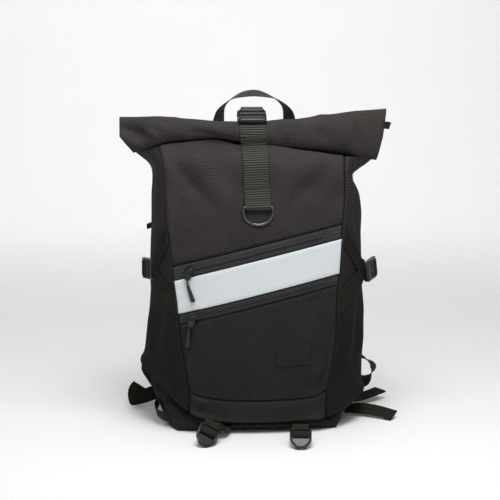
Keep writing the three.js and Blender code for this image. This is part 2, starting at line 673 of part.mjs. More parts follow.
function buildShoulderStraps() {
  const padSection = (t) => {
    const width = lerp(64, 46, t);
    const rim = 2.5;
    const full = 6.5 * Math.min(1, 8 * t + 0.4, 8 * (1 - t) + 0.4);
    const profile = [[-1, -rim], [-0.6, -full], [0, -full], [0.6, -full], [1, -rim]];
    return [...profile, ...profile.map(([w, h]) => [-w, -h])].map(([w, h]) => [(w * width) / 2, h]);
  };
  const bows = [
    { side: "left", sign: -1, upper: 112, middle: 124 },
    { side: "right", sign: 1, upper: 78, middle: 98 },
  ];
  for (const { side, sign, upper, middle } of bows) {
    const across = [1, 0, 0];
    const root = (z, x) => onBody(2.5, ringAtHeight(z), LIFT + 4.6).setX(sign * x);
    const pad = [
      { at: root(382, 56), across: vec(...across) },
      { at: root(366, 60).add(vec(0, 5, 0)), across: vec(...across) },
      step([sign * (upper + 60) / 2, 108, 344], across),
      step([sign * upper, 128, 304], across),
      step([sign * middle, 132, 252], across),
      step([sign * 112, 124, 200], across),
      step([sign * LOCK_X, LOCK_TOP.y + 0.7, LOCK_TOP.z + 1.7], across),
    ];
    addMesh(`${side}_shoulder_pad`, sweep(pad, 20, padSection), "padding");
    const lock = addMesh(`${side}_shoulder_lock`, ladderLock(), "plastic");
    place(lock, vec(sign * LOCK_X, LOCK_TOP.y, LOCK_TOP.z), vec(1, 0, 0), LOCK_FACE);
  }
}

function buildTails() {
  const up = [0, 0, 1];
  const flat = [1, 0, 0];
  const lockTip = { y: LOCK_TOP.y - 13.8, z: LOCK_TOP.z - 36.6 };
  const leftWeb = [
    step([-LOCK_X, lockTip.y, lockTip.z], flat),
    step([-LOCK_X, 93, 112], flat),
    step([-118, 93, 92], [0.8, 0, -0.5]),
    step([-146, 93, 78], [0.3, 0, -0.95]),
    step([-169, 90, 67], [-0.4, 0, -0.9]),
    step([-166, 85, 50], [-0.9, 0, -0.3]),
    step([-146, 80, 44], [-0.2, 0, -1]),
    step([-122, 76.6, 44], [0, 0, -1]),
  ];
  addMesh("left_shoulder_web", webbing(leftWeb, 18), "webbing");
  const rightWeb = [
    step([LOCK_X, lockTip.y, lockTip.z], [-1, 0, 0]),
    step([LOCK_X, 93, 112], [-1, 0, 0]),
    step([120, 93, 94], [-0.8, 0, -0.5]),
    step([150, 94, 80], [-0.2, 0.5, -0.8]),
    step([184, 93, 70], [0, 0.93, -0.35]),
    step([206, 90, 55], [0.2, 0.97, 0]),
    step([190, 85, 34], [0.2, 0.7, 0.7]),
    step([150, 80, 38], [0, 0.1, 1]),
    step([122, 76.6, 42], [0, 0, 1]),
  ];
  addMesh("right_shoulder_web", webbing(rightWeb, 20), "webbing");
  const outOfLock = { y: LOCK_TOP.y - 3, z: LOCK_TOP.z - 16.4 };
  const leftTail = [
    step([-LOCK_X, outOfLock.y, outOfLock.z], flat),
    step([-109, 116, 118], flat),
    step([-112, 126, 78], flat),
    step([-126, 126, 36], [0.7, 0.2, 0.6]),
    step([-150, 114, 17], up),
    step([-176, 88, 13.6], up),
    step([-191, 72, 16], [0.3, 0.1, 0.9]),
    step([-188, 64, 29], [0.8, 0.1, 0.3]),
    step([-181, 66, 39], [0.8, 0.4, -0.4]),
  ];
  addMesh("left_shoulder_tail", webbing(leftTail, 22), "webbing");
  const rightTail = [
    step([LOCK_X, outOfLock.y, outOfLock.z], flat),
    step([109, 116, 118], flat),
    step([114, 128, 76], flat),
    step([130, 126, 34], [0.8, -0.5, 0.2]),
    step([152, 112, 16], [0.5, -0.7, 0.5]),
    step([178, 106, 11], [0.1, -0.7, 0.7]),
    step([200, 112, 11], [-0.2, -0.75, 0.6]),
    step([219, 122, 10], [-0.4, -0.85, 0.3]),
  ];
  addMesh("right_shoulder_tail", webbing(rightTail, 18), "webbing");
  const rightBase = [
    { at: onBody(1.52, 0.19, 2.1), across: vec(0, 1, 0.1) },
    step([160, 8, 8.6], [0.1, 0.8, 0.55]),
    step([190, -8, 8.8], [0.15, 0.8, 0.55]),
    step([218, -25, 8.8], [0.2, 0.75, 0.6]),
  ];
  addMesh("right_base_tail", webbing(rightBase, 12), "webbing");
  const loop = besideBody([
    [3.52, 0.46, 0.3], [3.6, 0.4, 8], [3.7, 0.35, 12], [3.8, 0.33, 8], [3.88, 0.34, 0.4],
  ]);
  addMesh("left_base_loop", sweep(loop, 14, flatSection(16, WEB_THICK)), "webbing");
}

// Zip pulls: a slider on the zip, a metal tab, and a cord that ends in a moulded grip
function buildZipPulls() {
  const pulls = [
    { zip: "upper", x: -101, height: 276.5, tab: [-104, 240], cord: [-103, 231], tip: [-95, 205] },
    { zip: "lower", x: -96, height: 208.5, tab: [-99, 170], cord: [-100, 162], tip: [-104, 138] },
  ];
  const SLIDER_LIFT = 3.8;
  for (const { zip, x, height, tab, cord, tip } of pulls) {
    const z = height + BAND_SLOPE * x;
    const at = onFront(x, z, SLIDER_LIFT);
    const face = bodyNormal(frontU(x / ringColumn("frontHalf", ringAtHeight(z))), ringAtHeight(z));
    const along = vec(1, 0, BAND_SLOPE);
    const slider = addMesh(`${zip}_zip_slider`, plate([
      [-6, -3], [-2, -4.5], [6, -4], [6, 4], [-2, 4.5], [-6, 3]], [], 4, 0.8), "metal");
    place(slider, at, along, face);
    const lift = 5.6;
    const top = at.clone().addScaledVector(face, 3.9);
    const tabEnd = onFront(...tab, lift);
    const middle = top.clone().add(tabEnd).multiplyScalar(0.5);
    const down = tabEnd.clone().sub(top);
    const half = down.length() / 2;
    const tabPlate = addMesh(`${zip}_zip_tab`, plate([
      [-2.2, -half], [2.2, -half], [3.6, -half + 4], [3, half - 2], [1.5, half], [-1.5, half],
      [-3, half - 2], [-3.6, -half + 4]], [rectangle(-1.5, -half + 2, 1.5, -half + 5)], 1.4, 0), "metal");
    const tabFace = face.clone().addScaledVector(down, -face.dot(down) / down.lengthSq());
    place(tabPlate, middle, tabFace.clone().cross(down), tabFace);
    const cordStart = tabEnd.clone().addScaledVector(down.clone().normalize(), 0.4);
    const thickness = (t) => (t < 0.3 ? 1 : lerp(1.9, 2.7, (t - 0.3) / 0.7));
    const grip = [cordStart, onFront(...cord, lift - 0.5), onFront(...tip, lift - 1.6)];
    addMesh(`${zip}_zip_grip`,
      sweep(grip.map((p) => ({ at: p, across: vec(1, 0, 0) })), 10, roundSection(thickness)), "grip");
  }
}

function buildLabel() {
  const [left, right, low, high] = [30, 80, 105, 136];
  const columns = 4;
  const rows = 3;
  const grid = (lift) => Array.from({ length: columns + 1 }, (_, i) =>
    Array.from({ length: rows + 1 }, (_, j) =>
      onFront(lerp(left, right, i / columns), lerp(low, high, j / rows), lift)));
  addMesh("label_patch", wall(grid(LIFT + 1), grid(LIFT)), "fabric");
}

buildBase();
buildFront();
buildSidesAndBack();
buildRoll();
buildClosure();
buildHandle();
buildSideStraps();
buildBaseStraps();
buildShoulderStraps();
buildTails();
buildZipPulls();
buildLabel();

export default bag;
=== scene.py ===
"""Looks of a roll-top backpack that stands closed on its base. Lengths are millimetres up to the meshes."""
import math

import bpy
import numpy as np
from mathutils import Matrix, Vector


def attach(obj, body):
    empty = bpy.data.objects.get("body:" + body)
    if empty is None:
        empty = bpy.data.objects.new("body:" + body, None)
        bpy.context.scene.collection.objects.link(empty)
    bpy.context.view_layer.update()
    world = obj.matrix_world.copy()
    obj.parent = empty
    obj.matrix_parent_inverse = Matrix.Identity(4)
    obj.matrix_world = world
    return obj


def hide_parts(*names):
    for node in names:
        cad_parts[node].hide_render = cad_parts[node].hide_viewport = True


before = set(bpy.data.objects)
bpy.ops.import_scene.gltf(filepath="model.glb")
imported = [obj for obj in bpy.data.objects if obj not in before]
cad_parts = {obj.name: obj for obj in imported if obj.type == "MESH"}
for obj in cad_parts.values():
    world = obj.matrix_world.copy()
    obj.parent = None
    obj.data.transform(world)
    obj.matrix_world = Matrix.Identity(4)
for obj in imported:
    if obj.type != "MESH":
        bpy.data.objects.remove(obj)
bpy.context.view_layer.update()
MM = 0.001
TAU = 2 * math.pi


def add_object(name, data):
    made = bpy.data.objects.new(name, data)
    bpy.context.scene.collection.objects.link(made)
    return made


def aim(thing, direction):
    thing.rotation_euler = Vector(direction).to_track_quat("-Z", "Y").to_euler()


# Camera at the photograph's viewing angle
def make_camera():
    elevation, azimuth = math.radians(9), math.radians(-4)
    distance, focal_px, frame_px, right_px, sensor = 2.0, 1290, 500, 4, 36
    target = Vector((0, 0, 0.268))
    back = Vector((
        math.sin(azimuth) * math.cos(elevation),
        -math.cos(azimuth) * math.cos(elevation),
        math.sin(elevation),
    ))
    data = bpy.data.cameras.new("camera")
    data.sensor_width = sensor
    data.lens = sensor * focal_px / frame_px
    data.shift_x = -right_px / frame_px
    data.clip_end = 50
    camera = add_object("camera", data)
    camera.location = target + back * distance
    aim(camera, -back)
    bpy.context.scene.camera = camera


make_camera()

# The body surface, row by row, from the floor up
RING_COLUMNS = (
    "z_front", "z_left", "z_right", "corner_rise", "front_half", "left_half", "right_half",
    "back_half", "front_y", "back_y", "crown", "right_drop",
)
RING_ROWS = [
    (0, 0, 0, 0, 124, 139, 134, 116, -70, 70, 3, 0),
    (18, 99, 58, 10, 104, 172, 170, 138, -87, 76, 7, 0),
    (56, 140, 100, 5, 103, 167, 171, 141, -92, 79, 9, 0),
    (131, 183, 155, 0, 115, 165, 171, 142, -94, 80, 10, 0),
    (208, 215, 211, 0, 121, 161, 169, 142, -90, 80, 9, 0),
    (285, 285, 285, 0, 128, 160, 166, 140, -84, 79, 8, 0),
    (350, 350, 350, 0, 133, 158, 161, 137, -76, 74, 8, 0),
    (397, 397, 397, 0, 136, 157, 150, 133, -63, 62, 7, 13),
    (421, 421, 421, 0, 141, 180, 180, 141, -43, 36, 4, 15),
    (443, 443, 443, 0, 149, 190, 186, 149, -28.8, -20.2, 0, 0),
]
RINGS = dict(zip(RING_COLUMNS, np.array(RING_ROWS, float).T))
FOLD_ROW, THROAT_ROW, TOP_ROW = 1, 7, len(RING_ROWS) - 1
MOUTH_Z = RING_ROWS[TOP_ROW][0]
FRONT, RIGHT_SIDE, BACK, LEFT_SIDE = range(4)
BACK_MIDDLE = BACK + 0.5
SIDE_LENGTH = 165
BASE_POUCH = 6
# The lower edge of each side rises early: powers of its rise along the side, left and right
EDGE_RISE = (2.6, 1.5)
PROBE = 0.02
SEAM_GAP = 0.0012
# How far the front seams stand beyond the front corners, in u, at the rows of the body
LEFT_SEAM = (0.0, 0.0, 0.003, -0.006, 0.0, 0.024, 0.053, 0.07, 0.045, 0.01)
RIGHT_SEAM = (0.0, 0.0, 0.01, 0.011, -0.003, -0.009, -0.004, -0.021, -0.03, -0.035)

# Slanting front lines and the hem, as heights at the middle of the front
BAND_SLOPE = 0.24
UPPER_ZIP_TOP, BAND_TOP, BAND_BOTTOM, LOWER_ZIP_BOTTOM, HEM_SEAM = 285.4, 264.4, 213.7, 197, 52
LINE_GAP = 0.15
# How far the hem seam turns up at each corner, and the share of the half width where it starts
HEM_LEFT = (11, 0.88)
HEM_RIGHT = (10, 0.7)

FABRIC, BACK_PADDING, ZIP_TAPE = 2.0, 6.0, 1.6
LIFT = 0.7
WEB_THICK, WIDE_WEB, NARROW_WEB, RIB_PITCH = 1.6, 38, 25, 3.6
STRAP_FOOT_X, STRAP_HEAD_X, STRAP_HEAD_Z = 0.5, -6.0, 470
RING_BAR_Z, RING_WIRE, RING_PLAY, RING_HALF, RING_DROP, RING_TILT = 344, 2.2, 0.5, 22.2, 26, 0.075


def lerp(a, b, t):
    return a + (b - a) * t


def smoothstep(low, high, x):
    t = np.clip((np.asarray(x, float) - low) / (high - low), 0, 1)
    return t * t * (3 - 2 * t)


def bell(x, width):
    return np.exp(-((x / width) ** 2))


def unit(v):
    v = np.asarray(v, float)
    return v / np.maximum(np.linalg.norm(v, axis=-1, keepdims=True), 1e-9)


def vec(*p):
    return np.array(p, float)


RIGHTWARD = vec(1, 0, 0)


def off_line(places, start, end, clipped=False):
    """The share of a line that each place lies along, and how far off the line it is."""
    span = vec(*end) - vec(*start)
    share = ((places - vec(*start)) @ span) / (span @ span)
    if clipped:
        share = np.clip(share, 0, 1)
    return share, np.linalg.norm(places - vec(*start) - share[..., None] * span, axis=-1)


def smooth_column(values, row, first=0):
    """A table's column at fractional rows, along a smooth curve through its rows."""
    last = len(values) - 1
    row = np.asarray(row, float)
    i = np.clip(np.floor(row).astype(int), first, last - 1)
    at = lambda k: values[np.clip(k, first, last)]
    t = row - i
    rise = at(i + 1) - at(i)
    slope_in = (at(i + 1) - at(i - 1)) / 2
    slope_out = (at(i + 2) - at(i)) / 2
    bend = slope_in + slope_out - 2 * rise
    return at(i) + t * (slope_in + t * (rise - slope_in - bend + t * bend))


def ring(column, v):
    values = RINGS[column]
    v = np.asarray(v, float)
    out = smooth_column(values, np.maximum(v, FOLD_ROW), FOLD_ROW)
    out = np.where(v <= FOLD_ROW, lerp(values[0], values[1], v), out)
    if column == "right_half":
        t = v - THROAT_ROW
        straight = lerp(values[THROAT_ROW], values[THROAT_ROW + 1], t)
        out = np.where((t > 0) & (t < 1), straight, out)
    return out


def body(u, v):
    """Points of the body surface: u counts the front, right side, back and left side, v the rows."""
    u, v = np.broadcast_arrays(np.mod(np.asarray(u, float), 4), np.asarray(v, float))
    r = {column: ring(column, v) for column in RING_COLUMNS}
    lane = np.floor(u).astype(int)
    t = u - lane
    s = np.abs(2 * t - 1)
    pouch = np.where(v < FOLD_ROW, BASE_POUCH * np.sin(np.pi * v) * (1 - s * s) ** 2, 0)
    right = lane == RIGHT_SIDE
    along = np.where(right, t, 1 - t)
    swell = np.sin(np.pi * along)
    reach = np.where(right, r["right_half"], r["left_half"])
    half = (r["front_half"] + r["back_half"]) / 2
    side_x = lerp(r["front_half"], r["back_half"], along) + (reach - half) * swell
    side_x = np.where(right, side_x, -side_x)
    front_x = r["front_half"] * (2 * t - 1)
    back_x = r["back_half"] * (1 - 2 * t)
    front_y = r["front_y"] + r["crown"] * s ** 2.2 - pouch
    side_y = lerp(r["front_y"] + r["crown"], r["back_y"], along)
    pick = [lane == FRONT, lane == BACK]
    x = np.select(pick, [front_x, back_x], side_x)
    y = np.select(pick, [front_y, r["back_y"]], side_y)
    sag = np.where(right, r["right_drop"] * swell, 0)
    corner = np.where(right | ((lane == FRONT) & (t > 0.5)), 0.0, r["corner_rise"])
    lifted = np.select(pick, [corner * s ** 3, 0 * s], corner * (1 - along) ** 2 - sag)
    leftness = np.clip(0.5 - x / (2 * r["back_half"]), 0, 1)
    z_back = lerp(r["z_right"], r["z_left"], leftness)
    depth = np.clip((y - r["front_y"]) / (r["back_y"] - r["front_y"]), 0, 1)
    early = 1 - (1 - along) ** np.where(right, EDGE_RISE[1], EDGE_RISE[0]) - along
    early = np.where(right | (lane == LEFT_SIDE), early, 0) * smoothstep(3.2, 1, v)
    lifted = lifted + early * (np.where(right, r["z_right"], r["z_left"]) - r["z_front"])
    return np.stack([x, y, lerp(r["z_front"], z_back, depth) + lifted], -1)


def body_normal(u, v):
    u, v = np.broadcast_arrays(np.asarray(u, float), np.asarray(v, float))
    centre = np.where(np.abs(v - FOLD_ROW) < PROBE, FOLD_ROW, v)
    low = np.maximum(centre - PROBE, 0)
    high = np.minimum(centre + PROBE, TOP_ROW)
    across = body(u + PROBE, centre) - body(u - PROBE, centre)
    upward = body(u, high) - body(u, low)
    return unit(np.cross(across, upward))


def off_body(u, v, lift):
    """Places off the plain body surface, without its folds."""
    return body(u, v) + body_normal(u, v) * np.asarray(lift, float)[..., None]


# Soft folds of the cloth, from place to place, with width and height, which is negative where a fold
# stands in. On the front the places are (x, z); on the sides (distance from the front seam, z).
FOLDS = {
    FRONT: [
        ((-134, 416), (-58, 334), 11, -5.0), ((-106, 424), (-36, 350), 14, 3.6),
        ((-126, 392), (-112, 330), 8, -1.8), ((112, 402), (28, 330), 12, -2.4),
        ((104, 420), (20, 352), 15, 3.0), ((134, 372), (98, 330), 9, -1.4),
        ((22, 420), (52, 400), 8, -3.0), ((-96, 380), (-30, 380), 40, 2.0),
        ((-60, 312), (70, 338), 30, 2.0), ((112, 130), (105, 86), 5, -4.6),
        ((106, 94), (86, 66), 5, -4.0), ((104, 74), (96, 34), 5, -4.4),
        ((98, 112), (82, 80), 7, 3.0), ((94, 66), (90, 34), 5, 2.6),
        ((86, 84), (68, 62), 7, -2.0), ((-108, 172), (-96, 96), 7, -2.8),
        ((-92, 158), (-80, 110), 9, 1.8), ((-90, 140), (0, 80), 26, 2.2),
        ((112, 220), (64, 200), 8, -2.4), ((-98, 56), (-80, 44), 6, 2.6),
        ((-92, 46), (-84, 32), 5, -2.4), ((-60, 36), (80, 36), 12, 2.0),
    ],
    LEFT_SIDE: [
        ((30, 430), (42, 318), 11, 2.6), ((18, 362), (54, 312), 8, -2.6),
        ((62, 420), (72, 290), 12, -2.6), ((14, 210), (30, 60), 9, 2.6),
        ((34, 206), (58, 90), 9, -3.6), ((58, 212), (78, 130), 10, 1.4),
        ((88, 216), (104, 140), 11, -3.0), ((112, 220), (126, 160), 12, 0.8),
    ],
    RIGHT_SIDE: [
        ((26, 414), (22, 290), 10, 3.4), ((46, 404), (44, 290), 11, -3.2),
        ((70, 394), (80, 300), 12, 2.8), ((15, 190), (9, 56), 7, -4.2),
        ((34, 204), (25, 70), 8, 4.0), ((56, 200), (47, 84), 9, -3.6),
        ((80, 206), (72, 96), 11, 3.2), ((106, 214), (102, 110), 13, -2.6),
    ],
}
# Faint waves over the panels: radians per millimetre along and up, phase and height
WAVES = [
    (0.021, 0.013, 0.4, 0.7), (-0.017, 0.024, 1.9, 0.6), (0.043, -0.021, 3.1, 0.32),
    (0.031, 0.052, 5.0, 0.28), (-0.083, 0.041, 0.9, 0.12), (0.062, 0.097, 2.2, 0.1),
]
OVERHANG = 5.0
BUCKLE_ALONG, BUCKLE_Z = 78, 240
# The cloth swells out to meet the roll: heights of the roll's underside along it
ROLL_FOOT_X = (-184, -137, -62, -27, 19, 70, 125, 190)
ROLL_FOOT_Z = (425, 438, 446, 437, 437, 428.6, 421, 412.5)
UNDER_ROLL = 17 * vec(0, -0.87, 0.5)


def strap_x(z):
    rise = (np.asarray(z, float) - RING_BAR_Z) / (STRAP_HEAD_Z - RING_BAR_Z)
    return lerp(STRAP_FOOT_X, STRAP_HEAD_X, np.clip(rise, 0, 1))


def folds(u, v, points):
    """How far the cloth stands off the plain body surface."""
    u = np.mod(np.asarray(u, float), 4)
    lane = np.floor(u)
    t = u - lane
    x, z = points[..., 0], points[..., 2]
    along = np.where(lane == RIGHT_SIDE, t, 1 - t) * SIDE_LENGTH
    total = np.zeros(u.shape)
    for face, rows in FOLDS.items():
        flat = np.stack([x if face == FRONT else along, z], -1)
        for start, end, width, height in rows:
            share, off = off_line(flat, start, end)
            taper = smoothstep(-0.12, 0.35, share) * smoothstep(-0.12, 0.35, 1 - share)
            total += np.where(lane == face, height * taper * bell(off, width), 0)
    front, back = lane == FRONT, lane == BACK
    level = np.where(front | back, x, along)
    for kx, kz, phase, size in WAVES:
        total += size * np.sin(kx * level + kz * z + phase + 1.7 * lane)
    # calm near the zips, the mouth, the closure strap, the seams and the side buckles
    line = z - BAND_SLOPE * x
    above, below = smoothstep(2, 22, line - UPPER_ZIP_TOP), smoothstep(2, 22, LOWER_ZIP_BOTTOM - line)
    calm = np.where(front, above + below, 1.0) * smoothstep(0, 14, MOUTH_Z - z)
    calm = np.where(front & (z > 330), calm * smoothstep(20, 34, np.abs(x - strap_x(z))), calm)
    seam_share = np.minimum(t, 1 - t)
    calm = calm * smoothstep(0.0, 0.03, seam_share) * smoothstep(FOLD_ROW, FOLD_ROW + 0.35, v)
    under_buckle = bell(along - BUCKLE_ALONG, 26) * bell(z - BUCKLE_Z, 30)
    calm = np.where(front | back, calm, calm * (1 - under_buckle))
    overhang = np.where(back | (v < FOLD_ROW), 0.0, OVERHANG * bell(v - FOLD_ROW, 0.3))
    return total * np.where(back, 0.0, calm) + overhang * smoothstep(0, 0.05, seam_share)


def under_roll(u, points):
    """How far the cloth is carried forward to meet the roll above it."""
    u = np.mod(u, 4)
    along = np.where(u < 1, 0, np.where(u < 2, u - 1, 4 - u)) * SIDE_LENGTH
    below = np.interp(points[..., 0], ROLL_FOOT_X, ROLL_FOOT_Z) - points[..., 2]
    crease = smoothstep(6, 10.5, below)
    fade = smoothstep(70, 16, below) * smoothstep(88, 26, along)
    return (crease * fade)[..., None] * UNDER_ROLL


def on_body(u, v, lift):
    points = body(u, v)
    u = np.broadcast_to(u, points.shape[:-1])
    v = np.broadcast_to(v, points.shape[:-1])
    return points + body_normal(u, v) * (folds(u, v, points) + lift)[..., None] + under_roll(u, points)


def ring_at_height(z):
    """The row of the body at a height of its front, found by halving."""
    z = np.asarray(z, float)
    low = np.full(z.shape, float(FOLD_ROW))
    high = np.full(z.shape, float(TOP_ROW))
    for _ in range(40):
        middle = (low + high) / 2
        below = ring("z_front", middle) < z
        low = np.where(below, middle, low)
        high = np.where(below, high, middle)
    return low


def ring_at_line(height, s):
    v = np.full(np.shape(s), TOP_ROW / 2)
    for _ in range(8):
        v = ring_at_height(height + BAND_SLOPE * s * ring("front_half", v))
    return v


def front_place(x, z):
    """(u, v) of a place on the front."""
    v = ring_at_height(z)
    return (np.asarray(x, float) / ring("front_half", v) + 1) / 2, v


def on_front(x, z, lift):
    return on_body(*front_place(x, z), np.asarray(lift, float))


def on_back(x, z, lift):
    place = on_body(vec(BACK_MIDDLE), ring_at_height(vec(z)), vec(lift))[0]
    return vec(x, place[1], place[2])


# Materials
class Graph:
    """The nodes of one material. An input is a number or another node's output."""

    def __init__(self, name, **inputs):
        self.material = bpy.data.materials.new(name)
        self.material.use_nodes = True
        self.tree = self.material.node_tree
        self.shader = self.tree.nodes["Principled BSDF"]
        self.feed(self.shader, {key.replace("_", " "): value for key, value in inputs.items()})

    def feed(self, node, inputs):
        for key, value in inputs.items():
            if isinstance(value, bpy.types.NodeSocket):
                self.tree.links.new(value, node.inputs[key])
            else:
                node.inputs[key].default_value = value

    def node(self, kind, inputs, **settings):
        made = self.tree.nodes.new("ShaderNode" + kind)
        for key, value in settings.items():
            setattr(made, key, value)
        self.feed(made, inputs)
        return made.outputs

    def math(self, operation, *values):
        return self.node("Math", dict(enumerate(values)), operation=operation)[0]

    def add(self, a, b):
        return self.math("ADD", a, b)

    def times(self, a, b):
        return self.math("MULTIPLY", a, b)

    def wave(self, a, pitch):
        return self.math("SINE", self.times(a, math.pi / pitch))

    def place(self):
        return self.node("TexCoord", {})["Object"]

    def split(self, vector):
        return self.node("SeparateXYZ", {0: vector})

    def uv(self):
        return self.split(self.node("UVMap", {}, uv_map="cloth")[0])[:2]

    def noise(self, scale, detail=3.0, rough=0.55):
        inputs = {"Scale": scale, "Detail": detail, "Roughness": rough, "Vector": self.place()}
        return self.node("TexNoise", inputs)["Fac"]

    def spread(self, value, low, high, from_low=0.3, from_high=0.7):
        inputs = {"Value": value, "From Min": from_low, "From Max": from_high, "To Min": low, "To Max": high}
        return self.node("MapRange", inputs)["Result"]

    def surface(self, tone, dark, light, rough, height=None, strength=0.0, distance=0.0):
        """Joins the tone between two colours, the roughness and the relief to the shader."""
        ramp = self.tree.nodes.new("ShaderNodeValToRGB")
        for stop, colour in zip(ramp.color_ramp.elements, (dark, light)):
            stop.color = (*colour, 1)
        self.feed(ramp, {"Fac": tone})
        self.feed(self.shader, {"Base Color": ramp.outputs["Color"], "Roughness": rough})
        if height:
            bump = self.node("Bump", {"Strength": strength, "Distance": distance, "Height": height})
            self.feed(self.shader, {"Normal": bump["Normal"]})


def woven(name, slot, dark, light, pitch, strength, rough=(0.78, 0.95), specular=0.2, dash=1.5, contrast=0.5,
          fade=None):
    """A plain weave in UV millimetres, with uneven dye, lint and a slightly uneven gloss.

    fade paints shade by height: it is how much of the lighter tone is left at two heights, and those heights
    in metres."""
    g = Graph(name, Specular_IOR_Level=specular)
    u, v = g.uv()
    weft = g.wave(v, pitch)
    rows = g.math("SUBTRACT", g.math("ABSOLUTE", weft), 0.64)
    weave = g.add(g.times(g.wave(u, pitch * dash), g.times(weft, 0.34)), rows)
    slub = g.noise(900, 2.0)
    patches = g.noise(28, 4.0)
    grain = g.add(g.times(weave, contrast), g.times(slub, 0.4))
    tone = g.spread(g.add(grain, g.times(patches, 0.2)), 0.0, 1.0, 0.0, 0.6)
    # Painted shade: the tone is scaled by height on the object, darker where less light reaches.
    if fade:
        tone = g.times(tone, g.spread(g.split(g.place())[2], *fade))
    height = g.add(weave, g.times(slub, 0.8))
    g.surface(tone, dark, light, g.spread(patches, *rough), height, strength, 0.0003)
    return g.material, slot


# Nylon cloth; fade paints shade on it by height.
def nylon(name, dark, light, fade):
    return woven(name, "fabric", dark, light, 3.0, 0.6, specular=0.08, dash=0.6, contrast=0.28, fade=fade)


def ribbed(name, dark, light, specular=0.3):
    """Nylon webbing: fine yarns across the ribs of the mesh."""
    g = Graph(name, Specular_IOR_Level=specular)
    u, v = g.uv()
    yarn_pitch = 1.1
    cross = g.wave(u, RIB_PITCH / 2)
    weave = g.times(g.wave(v, yarn_pitch / 2), cross)
    slub = g.noise(700, 2.0)
    patches = g.noise(45, 3.0)
    shade = g.add(g.add(g.times(cross, 0.45), g.times(slub, 0.45)), g.times(patches, 0.5))
    tone = g.spread(shade, 0.0, 1.0, 0.2, 0.8)
    height = g.add(weave, g.times(slub, 0.6))
    g.surface(tone, dark, light, g.spread(patches, 0.55, 0.8), height, 0.5, 0.0002)
    return g.material, "webbing"


def moulded(name, slot, dark, light, rough, grain=1400, strength=0.15, metallic=0.0, specular=0.5):
    """Moulded plastic, rubber or coated metal with a fine grain and scuffs."""
    g = Graph(name, Metallic=metallic, Specular_IOR_Level=specular)
    fine = g.noise(grain, 2.0)
    scuffs = g.noise(160, 5.0, 0.7)
    g.surface(g.spread(scuffs, 0.0, 1.0), dark, light, g.spread(scuffs, *rough), fine, strength, 0.0001)
    return g.material, slot


# A look is a material and its slot
NYLON = (0.0070, 0.0060, 0.0058), (0.0670, 0.0608, 0.0588)
# Painted shade: the nylon grows darker towards the bottom of the bag, as if lit from above.
FABRIC_LOOK = nylon("black_nylon", *NYLON, (0.50, 1.0, 0.16, 0.40))
# A lighter copy of the same nylon for the hem, with less painted shade: painted light.
LIT_HEM_LOOK = nylon("hem_nylon_painted_light", *NYLON, (0.68, 1.0, 0.16, 0.40))
# A darker copy of the same nylon for the sides, with more painted shade towards the bottom.
SHADED_SIDE_LOOK = nylon("side_nylon_painted_shade", (0.0050, 0.0043, 0.0042), (0.0650, 0.0590, 0.0574), (0.28, 1.0, 0.14, 0.40))
# The base tray's own weave, with painted shade: darker upwards, where the panels above overhang it.
BASE_LOOK = woven("base_nylon", "fabric", (0.0060, 0.0054, 0.0052), (0.0370, 0.0337, 0.0328), 2.2, 0.5,
                  specular=0.08, dash=1.2, fade=(1.0, 0.32, 0.022, 0.07))
LINING_LOOK = woven("padded_mesh", "padding", (0.022, 0.0215, 0.0215), (0.095, 0.0926, 0.0926), 2.4, 0.9)
BAND_LOOK = woven("reflective_cloth", "reflective", (0.59, 0.63, 0.655), (0.64, 0.68, 0.705), 0.5, 0.12,
                  (0.34, 0.46), 0.4)
TAPE_LOOK = woven("zip_tape", "zip", (0.013, 0.013, 0.0134), (0.036, 0.036, 0.0368), 0.9, 0.4,
                  (0.6, 0.8), 0.3)
COIL_LOOK = moulded("zip_coil", "zip", (0.005, 0.005, 0.005), (0.011, 0.011, 0.011), (0.35, 0.5),
                    specular=0.3)
WEB_LOOK = ribbed("webbing", (0.0088, 0.0091, 0.0072), (0.0480, 0.0492, 0.0390))
# A darker, duller copy of the webbing: painted shade for the straps that sit low on the bag and in its
# shadow.
SHADED_WEB_LOOK = ribbed("shaded_webbing", (0.0052, 0.0055, 0.0040), (0.0300, 0.0314, 0.0226), 0.1)
PLASTIC_LOOK = moulded("acetal", "plastic", (0.009, 0.009, 0.0086), (0.018, 0.018, 0.0171), (0.2, 0.32),
                       specular=0.36)
# The right lock's tip plate: a real gloss, with a light grey base colour that is a painted highlight.
TIP_HIGHLIGHT_LOOK = moulded("glossy_acetal_painted_highlight", "plastic", (0.15, 0.15, 0.145), (0.20, 0.20, 0.194), (0.2, 0.28), 900,
                   0.05, specular=1.0)
METAL_LOOK = moulded("gunmetal", "metal", (0.10, 0.0985, 0.0925), (0.16, 0.157, 0.148), (0.26, 0.38), 900,
                     0.08, 1.0)
SLIDER_LOOK = moulded("black_lacquer", "metal", (0.020, 0.020, 0.0195), (0.042, 0.042, 0.041), (0.2, 0.3),
                      900, 0.08, 0.7)
GRIP_LOOK = moulded("pull_rubber", "grip", (0.012, 0.012, 0.012), (0.024, 0.024, 0.0235), (0.45, 0.6),
                    specular=0.35)
THREAD_LOOK = moulded("thread", "fabric", (0.010, 0.0093, 0.009), (0.026, 0.0245, 0.0235), (0.6, 0.75), 2500,
                      0.3, specular=0.3)


# Meshes. A shape is (points, faces).
def make_piece(name, shape, look, node=None, uv=None, on="bag"):
    """A piece of the visual model, which stands for a node of the solids where one is named."""
    points, faces = shape
    material, slot = look
    mesh = bpy.data.meshes.new(name)
    mesh.from_pydata((points * MM).tolist(), [], faces)
    mesh.shade_smooth()
    if uv is not None:
        layer = mesh.uv_layers.new(name="cloth")
        corner = np.zeros(len(mesh.loops), np.int32)
        mesh.loops.foreach_get("vertex_index", corner)
        layer.data.foreach_set("uv", np.asarray(uv, np.float32)[corner].ravel())
    mesh.materials.append(material)
    piece = add_object(name, mesh)
    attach(piece, on)
    if node:
        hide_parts(node)
    return piece


